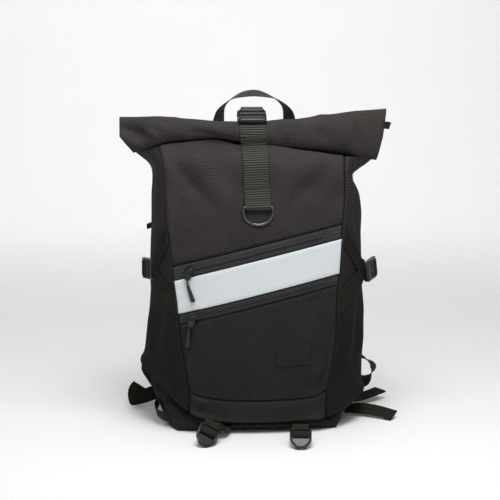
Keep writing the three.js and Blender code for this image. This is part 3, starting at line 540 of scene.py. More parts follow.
def loop_faces(loops, sides):
    """Faces of a tube of loops with the same number of sides, then its two end caps."""
    here = np.arange(sides) + sides * np.arange(loops - 1)[:, None]
    there = np.roll(here, -1, axis=1)
    faces = np.stack([here, there, there + sides, here + sides], -1).reshape(-1, 4).tolist()
    return faces + [list(range(sides))[::-1], list(range((loops - 1) * sides, loops * sides))]


def circle(sides):
    angle = TAU * np.arange(sides) / sides
    return np.stack([np.cos(angle), np.sin(angle)], -1)


def run_length(line):
    """Distance along a line at each of its points."""
    return np.concatenate([[0], np.cumsum(np.linalg.norm(np.diff(line, axis=0), axis=1))])


def rows_at(s, run, rows):
    """Rows of three numbers at distances s, between those at the distances in run."""
    return np.stack([np.interp(s, run, rows[:, k]) for k in range(3)], -1)


def quads(columns, rows, start=0, flip=False):
    i, j = np.meshgrid(np.arange(columns - 1), np.arange(rows - 1), indexing="ij")
    a = start + i * rows + j
    corners = [a, a + rows, a + rows + 1, a + 1]
    if flip:
        corners.reverse()
    return np.stack([c.ravel() for c in corners], -1).tolist()


def wall(outer, inner):
    """Shape and UVs of a curved wall between two grids."""
    columns, rows = outer.shape[:2]
    count = columns * rows
    points = np.concatenate([outer.reshape(-1, 3), inner.reshape(-1, 3)])
    index = np.arange(count).reshape(columns, rows)
    rim = np.concatenate([index[:, 0], index[-1, 1:], index[-2::-1, -1], index[0, -2:0:-1]])
    turn = np.roll(rim, -1)
    faces = quads(columns, rows) + quads(columns, rows, count, True)
    faces += np.stack([turn, rim, rim + count, turn + count], -1).tolist()
    u, v = np.meshgrid(run_length(outer[:, rows // 2]), run_length(outer[columns // 2]), indexing="ij")
    uv = np.stack([u.ravel(), v.ravel()], -1)
    return (points, faces), np.concatenate([uv, uv])


def seam(u, v):
    """Where the seam at a corner of the body runs, in u, at rows v."""
    rows = np.arange(TOP_ROW + 1)
    if u == 1:
        return 1 + np.interp(v, rows, RIGHT_SEAM)
    return u - np.interp(v, rows, LEFT_SEAM) if u in (0, 4) else u + 0 * v


def fine_ends(count, length):
    """Shares from 0 to 1 with close steps at both ends, for the dip of a seam."""
    near = vec(0, 0.7, 1.5, 2.6) / length
    return np.concatenate([near, np.linspace(near[-1], 1 - near[-1], count)[1:-1], 1 - near[::-1]])


def cloth_panel(name, node, look, u0, low, high, columns, rows, thickness=FABRIC, edge=3.6, relief=None):
    """A sewn panel of the body surface. Its edges dip into the seams."""
    u1 = u0 + 1
    middle = vec((u0 + u1) / 2)
    foot, head = low(middle), high(middle)
    share = fine_ends(columns, np.linalg.norm(body(vec(u1 - 0.001), foot) - body(vec(u0 + 0.001), foot)))
    t = fine_ends(rows, np.linalg.norm(body(middle, head) - body(middle, foot)))
    bottom, top = low(lerp(u0, u1, share)), high(lerp(u0, u1, share))
    vv = bottom[:, None] + (top - bottom)[:, None] * t[None, :]
    uu = lerp(seam(u0, vv) + SEAM_GAP, seam(u1, vv) - SEAM_GAP, share[:, None])
    plain = body(uu, vv)
    wide = np.linalg.norm(np.diff(plain, axis=0), axis=-1).sum(0).mean()
    tall = np.linalg.norm(np.diff(plain, axis=1), axis=-1).sum(1).mean()
    across = share[:, None] * wide
    upward = t[None, :] * tall
    rim = np.minimum(np.minimum(across, wide - across), np.minimum(upward, tall - upward))
    dip = 0.35 * bell(rim - 6, 3.5) - edge * bell(rim, 1.1)
    if relief is not None:
        dip = dip + relief(uu, vv, t[None, :] + 0 * uu)
    shape, uv = wall(on_body(uu, vv, dip), on_body(uu, vv, dip - thickness))
    piece = make_piece(name, shape, look, node, uv)


def catmull(points, per, centripetal):
    """Samples of a Catmull-Rom curve, per for each stretch between two points."""
    p = np.asarray(points, float)
    p = np.vstack([2 * p[0] - p[1], p, 2 * p[-1] - p[-2]])
    t = np.linspace(0, 1, per, endpoint=False)[:, None]
    out = []
    for k in range(1, len(p) - 2):
        p0, p1, p2, p3 = p[k - 1:k + 3]
        m1, m2 = (p2 - p0) / 2, (p3 - p1) / 2
        if centripetal:
            d0, d1, d2 = (max(np.linalg.norm(b - a) ** 0.5, 1e-4) for a, b in ((p0, p1), (p1, p2), (p2, p3)))
            m1 = ((p1 - p0) / d0 - (p2 - p0) / (d0 + d1) + (p2 - p1) / d1) * d1
            m2 = ((p2 - p1) / d1 - (p3 - p1) / (d1 + d2) + (p3 - p2) / d2) * d1
        out.append(p1 + m1 * t + (3 * (p2 - p1) - 2 * m1 - m2) * t ** 2 + (2 * (p1 - p2) + m1 + m2) * t ** 3)
    return np.vstack(out + [p[-2][None]])


def level_route(places):
    return [(place, RIGHTWARD) for place in places]


def route_frames(route, spacing):
    """Evenly spaced places along a route of (place, across) rows, with their directions."""
    places = catmull([r[0] for r in route], 30, True)
    widths = catmull([r[1] for r in route], 30, False)
    run = run_length(places)
    s = np.linspace(0, run[-1], max(int(round(run[-1] / spacing)), 4) + 1)
    at, across = rows_at(s, run, places), rows_at(s, run, widths)
    ahead = unit(np.gradient(at, axis=0))
    across = unit(across - ahead * (across * ahead).sum(-1, keepdims=True))
    return at, ahead, across, np.cross(ahead, across), s


def sweep_mesh(at, across, out, s, over, rise):
    """Shape and UVs of loops along a route, from each loop's offsets across and out."""
    loops = at[:, None] + over[..., None] * across[:, None] + rise[..., None] * out[:, None]
    uv = np.stack([np.repeat(s, over.shape[1]), over.ravel()], -1)
    return (loops.reshape(-1, 3), loop_faces(*over.shape)), uv


WEB_ACROSS = vec(-0.975, -0.9, -0.6, -0.2, 0.2, 0.6, 0.9, 0.975)
WEB_RAISE = vec(0.72, 1, 1, 1, 1, 1, 1, 0.72)


def webbing_mesh(route, width=NARROW_WEB, thick=WEB_THICK, rib=0.3):
    """Woven strap with ribs across it and rounded selvedges."""
    at, ahead, across, out, s = route_frames(route, RIB_PITCH / 8)
    top = (thick / 2 - rib) * WEB_RAISE + np.outer(rib * np.cos(TAU * s / RIB_PITCH), WEB_RAISE >= 1)
    edge = np.zeros((len(s), 1))
    over = np.concatenate([WEB_ACROSS, [1], WEB_ACROSS[::-1], [-1]]) * width / 2
    rise = np.hstack([top, edge, -top[:, ::-1], edge])
    shape, uv = sweep_mesh(at, across, -out, s, np.tile(over, (len(s), 1)), rise)
    return shape, uv, (at, ahead, across, -out, s)


def webbing(name, route, node=None, look=WEB_LOOK, **sizes):
    shape, uv, frames = webbing_mesh(route, **sizes)
    return make_piece(name, shape, look, node, uv), frames


def merge(shapes):
    points, faces, count = [], [], 0
    for p, f in shapes:
        points.append(p)
        faces += [[i + count for i in face] for face in f]
        count += len(p)
    return np.vstack(points), faces


STITCH_ALONG = (-0.5, -0.32, 0.32, 0.5)
STITCH_SIZE = (0.3, 1.0, 1.0, 0.3)
STITCH_SIDES = 6
STITCHES = []


def stitch_line(points, normals, pitch=3.0, length=2.2, radius=0.28):
    """Adds a row of stitches along a line on a surface."""
    run = run_length(points)
    s = np.arange(pitch / 2, run[-1], pitch)
    normal = unit(rows_at(s, run, unit(normals)))
    ahead = unit(rows_at(s, run, np.gradient(points, axis=0)))
    for c, a, n, b in zip(rows_at(s, run, points), ahead, normal, np.cross(ahead, normal)):
        loop = circle(STITCH_SIDES) @ np.stack([0.8 * n, b]) + 0.25 * n
        loops = [c + a * length * p + radius * q * loop for p, q in zip(STITCH_ALONG, STITCH_SIZE)]
        STITCHES.append((np.vstack(loops), loop_faces(len(loops), STITCH_SIDES)))


def cross_stitches(at, across, out, half, steps, pitch, length):
    """A row of stitches across a strap."""
    line = at + np.outer(np.linspace(-half, half, steps), across)
    stitch_line(line, np.tile(out, (steps, 1)), pitch, length)


def surface_stitches(u, v, lift, **sizes):
    u, v = np.broadcast_arrays(np.asarray(u, float), np.asarray(v, float))
    stitch_line(on_body(u, v, lift), body_normal(u, v), **sizes)


def front_stitches(x, z, lift, **sizes):
    surface_stitches(*front_place(x, z), lift, **sizes)


def rounded(points, radius):
    """An outline with its corners rounded."""
    points = np.asarray(points, float)
    steps = 4
    out = []
    for k, p in enumerate(points):
        a, b = points[k - 1] - p, points[(k + 1) % len(points)] - p
        r = min(radius, 0.45 * np.linalg.norm(a), 0.45 * np.linalg.norm(b))
        start, end = p + unit(a) * r, p + unit(b) * r
        for t in np.linspace(0, 1, steps + 1):
            out.append((1 - t) ** 2 * start + 2 * t * (1 - t) * p + t ** 2 * end)
    return np.array(out)


def rounded_box(x0, y0, x1, y1, radius):
    return rounded([(x0, y0), (x1, y0), (x1, y1), (x0, y1)], radius)


def mirrored(radius, *right):
    """A rounded outline from the points of its right half, from below up."""
    left = [(-x, y) for x, y in right]
    return rounded([left[0], *right, *left[:0:-1]], radius)


def plate(outline, thickness, bevel, z=0.0, slots=()):
    """A flat part with slots and rounded edges, centred on z."""
    data = bpy.data.curves.new("plate", "CURVE")
    data.dimensions = "2D"
    data.fill_mode = "BOTH"
    data.extrude = thickness / 2 - bevel
    data.bevel_depth = bevel
    data.bevel_resolution = 2
    data.offset = -bevel
    for loop in [outline, *slots]:
        spline = data.splines.new("POLY")
        spline.points.add(len(loop) - 1)
        for point, (x, y) in zip(spline.points, loop):
            point.co = (x, y, 0, 1)
        spline.use_cyclic_u = True
    holder = add_object("plate", data)
    bpy.context.view_layer.update()
    mesh = holder.evaluated_get(bpy.context.evaluated_depsgraph_get()).to_mesh()
    points = np.array([v.co for v in mesh.vertices], float).reshape(-1, 3) + vec(0, 0, z)
    faces = [list(p.vertices) for p in mesh.polygons]
    holder.to_mesh_clear()
    bpy.data.objects.remove(holder)
    bpy.data.curves.remove(data)
    return points, faces


def rod(start, end, radius, sides, flat=1.0):
    """A round-ended bar between two places."""
    start, end = vec(*start), vec(*end)
    ahead = unit(end - start)
    up = vec(0, 0, 1) if abs(ahead[2]) < 0.9 else vec(0, 1, 0)
    side = unit(np.cross(ahead, up))
    loop = radius * circle(sides) @ np.stack([side, flat * np.cross(side, ahead)])
    ends = [(0.0, 0.55), (0.3, 0.88), (0.8, 1.0)]
    loops = [start + ahead * radius * inset + size * loop for inset, size in ends]
    loops += [end - ahead * radius * inset + size * loop for inset, size in ends[::-1]]
    return np.vstack(loops), loop_faces(len(loops), sides)


def cross_bar(half, y, z, radius, sides):
    return rod((-half, y, z), (half, y, z), radius, sides)


def placed(shape, at, across, face):
    """Puts a local shape, X along across and Z along face, into the bag."""
    z = unit(face)
    x = unit(across - z * (across @ z))
    return shape[0] @ np.stack([x, np.cross(z, x), z], 0) + at, shape[1]


def hard_piece(name, shapes, look, node=None, spot=None):
    """A stiff piece with crisp edges. spot is where local shapes go: (at, across, face)."""
    shape = merge(shapes)
    piece = make_piece(name, placed(shape, *spot) if spot else shape, look, node)
    piece.data.set_sharp_from_angle(angle=math.radians(35))


def threaded(name, places, spot, width, thick, look=SHADED_WEB_LOOK):
    """Webbing that winds through a buckle along local (y, z) places."""
    shape, uv, _ = webbing_mesh(level_route([vec(0, y, z) for y, z in places]), width=width, thick=thick)
    make_piece(name, placed(shape, *spot), look, uv=uv)


# Front, sides, back and base
def line_ring(height):
    return lambda u: ring_at_line(height, 2 * u - 1)


def hem_ring(gap):
    def at(u):
        s = 2 * u - 1
        left = np.clip((-s - HEM_LEFT[1]) / (1 - HEM_LEFT[1]), 0, 1)
        right = np.clip((s - HEM_RIGHT[1]) / (1 - HEM_RIGHT[1]), 0, 1)
        return ring_at_height(HEM_SEAM + HEM_LEFT[0] * left ** 2 + HEM_RIGHT[0] * right ** 2 + gap)
    return at


def level_ring(row):
    return lambda u: np.full(np.shape(u), float(row))


FOLD_RING, TOP_RING = level_ring(FOLD_ROW + 0.006), level_ring(TOP_ROW)


def build_front():
    above_zip, below_zip = line_ring(UPPER_ZIP_TOP + LINE_GAP), line_ring(LOWER_ZIP_BOTTOM - LINE_GAP)
    band_low, band_high = line_ring(BAND_BOTTOM + LINE_GAP), line_ring(BAND_TOP - LINE_GAP)
    over_hem, under_hem = hem_ring(LINE_GAP), hem_ring(-LINE_GAP)

    def raised(u, v, t):
        return 0.9 + 0 * u
    cloth_panel("upper_front_cloth", "upper_front_panel", FABRIC_LOOK, FRONT, above_zip, TOP_RING, 120, 150)
    cloth_panel("pocket_cloth", "pocket_panel", FABRIC_LOOK, FRONT, over_hem, below_zip, 104, 64, edge=2.4)
    cloth_panel("front_hem_cloth", "front_hem", LIT_HEM_LOOK, FRONT, FOLD_RING, under_hem, 104, 22, edge=2.4)
    cloth_panel("reflective_band_cloth", "reflective_band", BAND_LOOK, FRONT, band_low, band_high, 90, 24,
                edge=0.6, relief=raised)


ZIP_STOP_X = 100


def build_zip(name, low, high, groove=0.0):
    """Woven tape with a raised cord along each side of a covered coil."""
    def relief(u, v, t):
        middle = np.abs(t - 0.5)
        coil = 0.5 * np.exp(-((middle / 0.09) ** 4)) - 0.3 * bell(middle - 0.14, 0.025)
        cords = 0.12 * bell(middle - 0.26, 0.06)
        stop = (2 * u - 1) * ring("front_half", v) - ZIP_STOP_X
        return coil + cords - groove * bell(1 - t, 0.11) - 1.3 * bell(stop, 1.3)
    cloth_panel(name + "_tape", name, TAPE_LOOK, FRONT, line_ring(low + LINE_GAP), line_ring(high - LINE_GAP),
                190, 44, ZIP_TAPE, 2.4, relief)
    tooth_pitch = 2.4
    x = np.arange(-108, ZIP_STOP_X - 3, tooth_pitch)
    u, v = front_place(x, (low + high) / 2 + BAND_SLOPE * x)
    at = on_body(u, v, 1.0)
    ahead = unit(np.gradient(at, axis=0))
    side = np.cross(body_normal(u, v), ahead)
    teeth = [rod(p + s * k * 0.2 - a * 0.5, p + s * k * 1.9 + a * 0.5, 0.55, 6, 0.8)
             for k in (-1, 1) for p, s, a in zip(at, side, ahead)]
    hard_piece(name + "_coil", teeth, COIL_LOOK)
    span = np.linspace(-112, 118, 90)
    for height in (low + 2.0, high - 2.0):
        front_stitches(span, height + BAND_SLOPE * span, 0.35)
    ends = np.linspace(low + 1.5, high - 1.5, 12)
    for stop in (ZIP_STOP_X - 2.4, ZIP_STOP_X + 2.4):
        front_stitches(stop, ends + BAND_SLOPE * stop, 0.9, pitch=2.0, length=1.6)


def build_sides_and_back():
    for side, lane in (("right", RIGHT_SIDE), ("left", LEFT_SIDE)):
        cloth_panel(side + "_side_cloth", side + "_side_panel", SHADED_SIDE_LOOK, lane, FOLD_RING, TOP_RING, 66, 300)
    pad_share = 13 / 18
    pad_top = lerp(FOLD_ROW + 0.01, TOP_ROW, pad_share)

    def quilting(u, v, t):
        s = np.abs(2 * (u - 2) - 1)
        channels = np.abs(np.sin(np.pi * 4 * t)) ** 0.5
        swell = smoothstep(0, 0.12, 1 - s) * smoothstep(0, 0.05, np.minimum(t, 1 - t))
        return 4.4 * swell * channels * (1 - 0.9 * bell(s, 0.1)) - 0.8
    cloth_panel("back_pad_cloth", "back_panel", LINING_LOOK, BACK, FOLD_RING, level_ring(pad_top - 0.006),
                96, 120, BACK_PADDING, 1.4, quilting)
    cloth_panel("back_collar_cloth", "back_collar", FABRIC_LOOK, BACK, level_ring(pad_top), TOP_RING, 96, 40)


def build_base():
    """The base tray. It is tucked in under the panels above it and rounded where it meets the floor."""
    around, rows = 300, 34
    u = np.linspace(0, 4, around, endpoint=False)
    uu, vv = np.meshgrid(u, np.linspace(0.0, FOLD_ROW + 0.03, rows), indexing="ij")
    side = ((uu > 1) & (uu < 2)) | (uu > 3)
    t = np.minimum(vv, FOLD_ROW)
    side_tuck, front_tuck, back_tuck = 17.0, 10.0, 2.0
    tuck = np.where(side, side_tuck, np.where(uu < 1, front_tuck, back_tuck))
    tuck = tuck * bell(1 - t, np.where(side, 0.2, 0.35))
    corner = 1.5 * sum(bell(uu - c, 0.03) for c in (0, 1, 4))
    left = 5 * bell(uu - 3.6 - 0.18 * t, 0.07) - 3 * bell(uu - 3.76 - 0.1 * t, 0.06)
    right = 5 * bell(uu - 1.36 + 0.2 * t, 0.08)
    crumple = np.sin(9 * uu + 3 * t) * 0.8 + np.sin(23 * uu - 5 * t) * 0.5
    outer = off_body(uu, t, (crumple - corner - left - right) * np.sin(np.pi * t) - tuck)
    outer[..., 2] += (vv - t) * 200
    outer[..., 2] = np.maximum(outer[..., 2], 0)
    inset = np.where(side, 2.5, 7.0) * np.clip(1 - outer[..., 2] / 9, 0, 1) ** 2
    outer[..., :2] -= unit(outer[..., :2]) * inset[..., None]
    outer[:, 0, 2] = 0
    inner = outer - unit(outer * vec(1, 1, 0)) * FABRIC
    inner[..., 2] = np.maximum(inner[..., 2], 2.0)
    foot = outer[:, 0] * vec(1, 1, 0)
    shares = (0.86, 0.6, 0.3)
    loops = [foot * q for q in shares[::-1]] + [outer[:, j] for j in range(rows)]
    loops += [inner[:, j] for j in range(rows)][::-1] + [foot * q * 0.96 + vec(0, 0, 2.2) for q in shares]
    points = np.vstack(loops)
    uv = np.stack([points[:, 0] + points[:, 1], points[:, 2]], -1)
    # BASE_LOOK paints shade on the tray, darker towards its top under the overhang.
    make_piece("base_cloth", (points, loop_faces(len(loops), around)), BASE_LOOK, "base_panel", uv)


# The rolled mouth
ROLL_COLUMNS = ("x", "centre_y", "centre_z", "half_depth", "half_height", "lean", "slant")
ROLL_ROWS = [
    (-203, -42, 448, 12, 30.2, 0, -0.85),
    (-140, -43.5, 455, 15, 22, 0, -0.2),
    (-62, -45, 457, 16.5, 14.2, 0, 0),
    (-5, -45, 450.2, 17, 19.2, 0, 0),
    (70, -45, 448.8, 16.5, 26.9, 0.02, 0.02),
    (125, -44, 447.7, 15, 35.2, 0.06, 0.08),
    (190, -42, 445.9, 12, 44.4, 0.15, 0.24),
]
ROLL = dict(zip(ROLL_COLUMNS, np.array(ROLL_ROWS, float).T))
ROLL_WALL = 2.4
ROLL_TURNS = 1.85
TURN_LOSS = 0.33
TURN_LENGTH = 150
TUCK_Y, TUCK_DEPTH, TUCK_HALF, CLEAR_OF_EDGE = -24.5, 4, 145, 2.4
# Creases of the roll, from (x, angle) to (x, angle) in turns, with width in millimetres and height
ROLL_FOLDS = [
    ((-190, 0.42), (-174, 0.48), 12, -8.0), ((-172, 0.40), (-152, 0.54), 6, 3.4),
    ((-198, 0.52), (-186, 0.60), 8, 2.6), ((-166, 0.34), (-104, 0.52), 8, 2.0),
    ((-150, 0.34), (-96, 0.56), 7, -2.2), ((-120, 0.30), (-66, 0.46), 8, 1.8),
    ((-96, 0.50), (-48, 0.62), 7, -1.6), ((-44, 0.34), (-24, 0.60), 7, 1.4),
    ((26, 0.34), (44, 0.62), 7, -1.8), ((38, 0.30), (92, 0.42), 8, 2.0),
    ((70, 0.34), (104, 0.52), 7, -2.2), ((96, 0.28), (132, 0.50), 9, 2.2),
    ((128, 0.32), (162, 0.56), 8, -2.0), ((150, 0.40), (184, 0.60), 10, 1.8),
]


def roll_point(x, angle, off=0.0):
    row = np.interp(x, ROLL["x"], np.arange(len(ROLL_ROWS)))
    centre_y, centre_z, half_depth, half_height, lean, slant = (
        smooth_column(ROLL[column], row) for column in ROLL_COLUMNS[1:])
    size = 1 - TURN_LOSS * angle / TAU
    rise = (size * half_height + off) * np.sin(angle)
    y = centre_y + (size * half_depth + off) * np.cos(angle)
    sideways = np.where(rise > 0, lean, slant) * rise
    return np.stack(np.broadcast_arrays(x + sideways, y, centre_z + rise), -1)


def roll_folds(x, angle):
    turn = np.mod(angle / TAU, 1.0)
    flat = np.stack([x, turn * TURN_LENGTH], -1)
    total = 0.6 * np.sin(0.045 * x + 7 * turn) + 0.35 * np.sin(0.11 * x - 11 * turn + 1)
    for start, end, width, height in ROLL_FOLDS:
        ends = [(place, turns * TURN_LENGTH) for place, turns in (start, end)]
        total += height * bell(off_line(flat, *ends, clipped=True)[1], width)
    return total * smoothstep(20, 34, np.abs(x - STRAP_HEAD_X))


def build_roll():
    stations, per_turn = 150, 44
    x = np.linspace(ROLL["x"][0], ROLL["x"][-1], stations)
    angle = TAU * np.arange(int(round(ROLL_TURNS * per_turn)) + 1) / per_turn
    xx, aa = np.meshgrid(x, angle, indexing="ij")
    wound = roll_point(xx, aa, roll_folds(xx, aa) * smoothstep(0.0, 0.6, aa))
    foot = MOUTH_Z + np.where(np.abs(x) < TUCK_HALF, -TUCK_DEPTH, CLEAR_OF_EDGE)
    tuck = np.stack([np.stack([x, np.full(stations, TUCK_Y), foot + q], -1) for q in (0, 2)], 1)
    strip = np.concatenate([tuck, wound], 1)
    step = np.gradient(strip, axis=1)
    normal = unit(np.stack([0 * step[..., 0], step[..., 2], -step[..., 1]], -1))
    shape, _ = wall(strip - normal * ROLL_WALL / 2, strip + normal * ROLL_WALL / 2)
    run = np.cumsum(np.linalg.norm(np.diff(strip, axis=1, prepend=strip[:, :1]), axis=-1), axis=1)
    uv = np.stack([strip[..., 0].ravel(), run.ravel()], -1)
    piece = make_piece("roll_cloth", shape, FABRIC_LOOK, "roll_top", np.vstack([uv, uv]))
    end = roll_point(ROLL["x"][-1:], vec(0.85 * math.pi))[0] + vec(3.85, 0, 0)
    route = [(end + vec(-7, 0, 0), vec(0.2, 0, 1)), (end + vec(0, -1, 0), vec(0.16, 0, 1)),
             (end + vec(3.4, 1, -1), vec(0.4, 0, 1))]
    webbing("roll_end_loop", route, "roll_end_tab", SHADED_WEB_LOOK, width=11, thick=4.0)


# Closure strap, ring and buckle
def strap_front(z, lift):
    return on_front(strap_x(z), z, lift)


def roll_front(half_turns, lift):
    angle = half_turns * math.pi
    place = roll_point(vec(STRAP_HEAD_X), vec(angle))[0]
    return place + vec(0, math.cos(angle), math.sin(angle)) * (1.3 + lift + WEB_THICK / 2)


def build_closure_strap(bar):
    """Webbing over the roll, doubled round the ring's bar and sewn down in a box."""
    layer = LIFT + WEB_THICK / 2
    second = layer + WEB_THICK + LIFT / 2
    wrap = RING_WIRE + RING_PLAY + WEB_THICK / 2
    places = [strap_front(372, layer), strap_front(356, layer)]
    places += [bar - wrap * vec(0, math.cos(a), math.sin(a)) for a in math.pi * vec(1, 0.75, 0.5, 0.25, 0)]
    places += [strap_front(354, second + 1.6)]
    places += [strap_front(z, second) for z in (362, 374, 386, 397, 407, 417, 425)]
    places += [roll_front(turn, 1.2) for turn in (1.06, 0.94, 0.82, 0.74)]
    _, frames = webbing("closure_webbing", level_route(places), "closure_strap", width=WIDE_WEB)
    at, _, across, out, s = frames
    height = at[:, 2]
    shown = np.arange(len(s)) > len(s) * 0.3
    box_low, box_high, box_half, margin = 352.5, 372.5, 15.5, 1.5
    pitch, length = 2.4, 1.9
    rows = np.where(shown & (height > box_low - margin) & (height < box_high + margin))[0]
    out = np.where((out[:, 1] < 0)[:, None], out, -out)
    top = at + out * 0.75
    for w in (-box_half, box_half):
        stitch_line(top[rows] + across[rows] * w, out[rows], pitch, length)
    for z in (box_low, box_high):
        k = rows[np.argmin(np.abs(height[rows] - z))]
        cross_stitches(top[k], across[k], out[k], box_half, 20, pitch, length)


def build_ring(bar):
    """The ring swings on its own body."""
    half, sides = RING_HALF, 16
    path = [(half - 2.5, 0), (0, 0), (2.5 - half, 0), (0.6 - half, -0.7), (-half, -2.6)]
    path += [(-half * math.cos(a), -5 - (RING_DROP - 5) * math.sin(a)) for a in np.linspace(0, math.pi, 40)]
    path += [(half, -2.6), (half - 0.6, -0.7)]
    centres = np.array([bar + vec(x, RING_TILT * drop, drop) for x, drop in path])
    flat = unit(vec(0, 1, -RING_TILT))
    inward = np.cross(flat, unit(np.roll(centres, -1, 0) - np.roll(centres, 1, 0)))
    points = np.vstack([c + RING_WIRE * circle(sides) @ np.stack([i, flat]) for c, i in zip(centres, inward)])
    faces = np.array(loop_faces(len(path) + 1, sides)[:-2]) % len(points)
    make_piece("ring_wire", (points, faces.tolist()), METAL_LOOK, "d_ring", on="ring")


def build_buckle():
    """A webbing bar in front, a body behind it and the strap that holds the body at the back."""
    half, slot_half = 21.0, 18.6
    male_at = roll_front(0.59, 6.4)
    spot = male_at, RIGHTWARD, vec(0, -0.6, 0.8)
    slot = rounded_box(-slot_half, 0.6, slot_half, 6.2, 1.2)
    bars = [plate(mirrored(2.5, (half, -9.5), (half, 7.5), (half - 1.5, 9.5)), 6.4, 1.4, slots=[slot]),
            cross_bar(half - 1.2, -6.6, 0.8, 3.4, 16), cross_bar(18.9, -0.4, 1.4, 1.9, 14),
            cross_bar(half - 1.6, 7.9, 0.6, 2.0, 14)]
    hard_piece("closure_buckle_bar", bars, PLASTIC_LOOK, "closure_buckle_male", spot)
    hinge = male_at + vec(0, 13.4, 6)
    shell = rounded([(-half + 4, 0), (half - 4, 0), (half - 2.5, 4), (half + 0.6, 7.8), (half, 29),
                     (half - 4, 34), (-half + 4, 34), (-half, 29), (-half - 0.6, 8), (-half + 2.5, 4)], 2.0)
    parts = [plate(shell, 11.0, 1.8, slots=[rounded_box(-slot_half, 22.6, slot_half, 27, 1.2)]),
             plate(mirrored(2.5, (half - 2.5, -3), (half - 3, 21)), 7.0, 1.6, 3.2),
             plate(mirrored(2.5, (half - 4.2, -2), (half - 5.5, 19)), 6.0, 1.8, 6.9)]
    parts += [rod((q * (half - 3.4), -6, 2.4), (q * (half - 0.8), 6, 2.4), 2.0, 10) for q in (-1, 1)]
    hard_piece("closure_buckle_body", parts, PLASTIC_LOOK, "closure_buckle_female",
               (hinge, RIGHTWARD, vec(0, 0.16, 1)))
    wind = ((-8.5, -4.6), (-4, -3.4), (0.6, -1.8), (2.4, 1.2), (4.0, 1.6), (5.4, -0.6), (6.0, -3.4))
    threaded("closure_bar_webbing", wind, spot, 36, 1.3, WEB_LOOK)
    rear = [vec(STRAP_HEAD_X, y, z) for y, z in ((hinge[1] + 34.6, hinge[2] - 5), (26, 460), (48, 430))]
    rear += [on_back(STRAP_HEAD_X, z, LIFT + WEB_THICK) for z in (400, 375)]
    webbing("rear_closure_webbing", level_route(rear), "rear_closure_strap", width=WIDE_WEB)


def build_closure():
    bar = strap_front(RING_BAR_Z, LIFT + WEB_THICK + RING_PLAY + RING_WIRE)
    build_closure_strap(bar)
    build_ring(bar)
    build_buckle()


def build_handle():
    def half(side, wide):
        foot = [on_back(side * 54, z, lift + WEB_THICK / 2) for z, lift in ((386, 0.5), (402, 2.4))]
        rise = [
            ((54, 52, 436), vec(-side, 0.25, 0)),
            ((50.5, 40, 464), vec(-side * 0.75, 0.65, 0)),
            ((46, 35, 484), vec(-side * 0.5, 0.85, 0.1)),
            ((32, 32, 499), vec(-side * 0.1, 1, 0.02)),
            ((14, 31, 506.5), vec(0, 0.94, 0.28)),
        ]
        return [(p, vec(-side, 0, 0)) for p in foot] + [(p * vec(side * wide, 1, 1), a) for p, a in rise]
    route = half(-1, 1.05) + [(vec(3, 31, 508.5), vec(0, 0.92, 0.36))] + half(1, 1.16)[::-1]
    webbing("handle_webbing", route, "haul_handle")


# Side compression straps
def crosswise(u, v, at):
    """A route of places on the body, lying flat on it."""
    return list(zip(at, unit(np.cross(body_normal(u, v), np.gradient(at, axis=0)))))


ARM_THICK = 2.0
# Shares of the side's length, from the front seam back
ARM_APEX, CLIP_MIDDLE, REAR_START = 0.39, 0.47, 0.575


def side_arm(side, at, height, slack, z, upright):
    """One arm of the V, from an upright end at the front seam to the clip."""
    shares = np.linspace(0.006, ARM_APEX, 90)
    level = lerp(z, height, np.minimum(1, shares / (ARM_APEX - 0.03)) ** 1.1)
    tall = lerp(upright, NARROW_WEB, smoothstep(0.2, ARM_APEX, shares))
    w = np.concatenate([[-0.5], np.linspace(-0.48, 0.48, 12), [0.5]])
    lifts = lerp(LIFT, slack, (shares / ARM_APEX) ** 3)[:, None]
    run = shares * SIDE_LENGTH * 1.15
    ribs = 0.28 * np.cos(TAU * run / RIB_PITCH)[:, None]
    crown = np.where(np.abs(w) < 0.49, 1.0, 0.35)
    v = ring_at_height(level[:, None] + w * tall[:, None])
    beyond = -seam(0, v) if side == "left" else seam(1, v) - 1
    u = at(shares[:, None] + beyond * (1 - shares[:, None] / ARM_APEX))
    top = on_body(u, v, lifts + (ARM_THICK + ribs) * crown)
    low = on_body(u, v, lifts)
    if side == "left":
        top, low, w = top[:, ::-1], low[:, ::-1], w[::-1]
    uv = np.stack([np.repeat(run, len(w)), np.tile(w * NARROW_WEB, len(run))], -1)
    return wall(top, low)[0], np.vstack([uv, uv])


def build_side_straps():
    sides = [
        ("left", lambda t: 4 - t, 241, 0.8, 0.8, vec(0, 0, -1)),
        ("right", lambda t: 1 + t, 236, 13.0, 5.7, vec(-0.36, 0, 1)),
    ]
    for side, at, height, lift, slack, upright in sides:
        arms = [side_arm(side, at, height, slack, *end) for end in ((303, 31), (197, 36))]
        shape = merge([arm for arm, _ in arms])
        uv = np.vstack([uv for _, uv in arms])
        make_piece(side + "_side_webbing", shape, SHADED_WEB_LOOK, side + "_side_strap", uv)
        shares = vec(REAR_START, 0.68, 0.78, 0.88, 0.98)
        lifts = lerp(slack, LIFT, np.minimum(1, (shares - REAR_START) / 0.25))
        v = ring_at_height(vec(height))
        u = at(shares)
        rear = crosswise(u, v, on_body(u, v, lifts + WEB_THICK / 2))
        webbing(side + "_rear_webbing", rear, side + "_rear_strap", SHADED_WEB_LOOK)
        middle = at(vec(CLIP_MIDDLE))
        out = body_normal(middle, v)[0]
        side_clip(side, (body(middle, v)[0] + out * (lift + 1), upright, out + vec(0, -0.5, 0)))


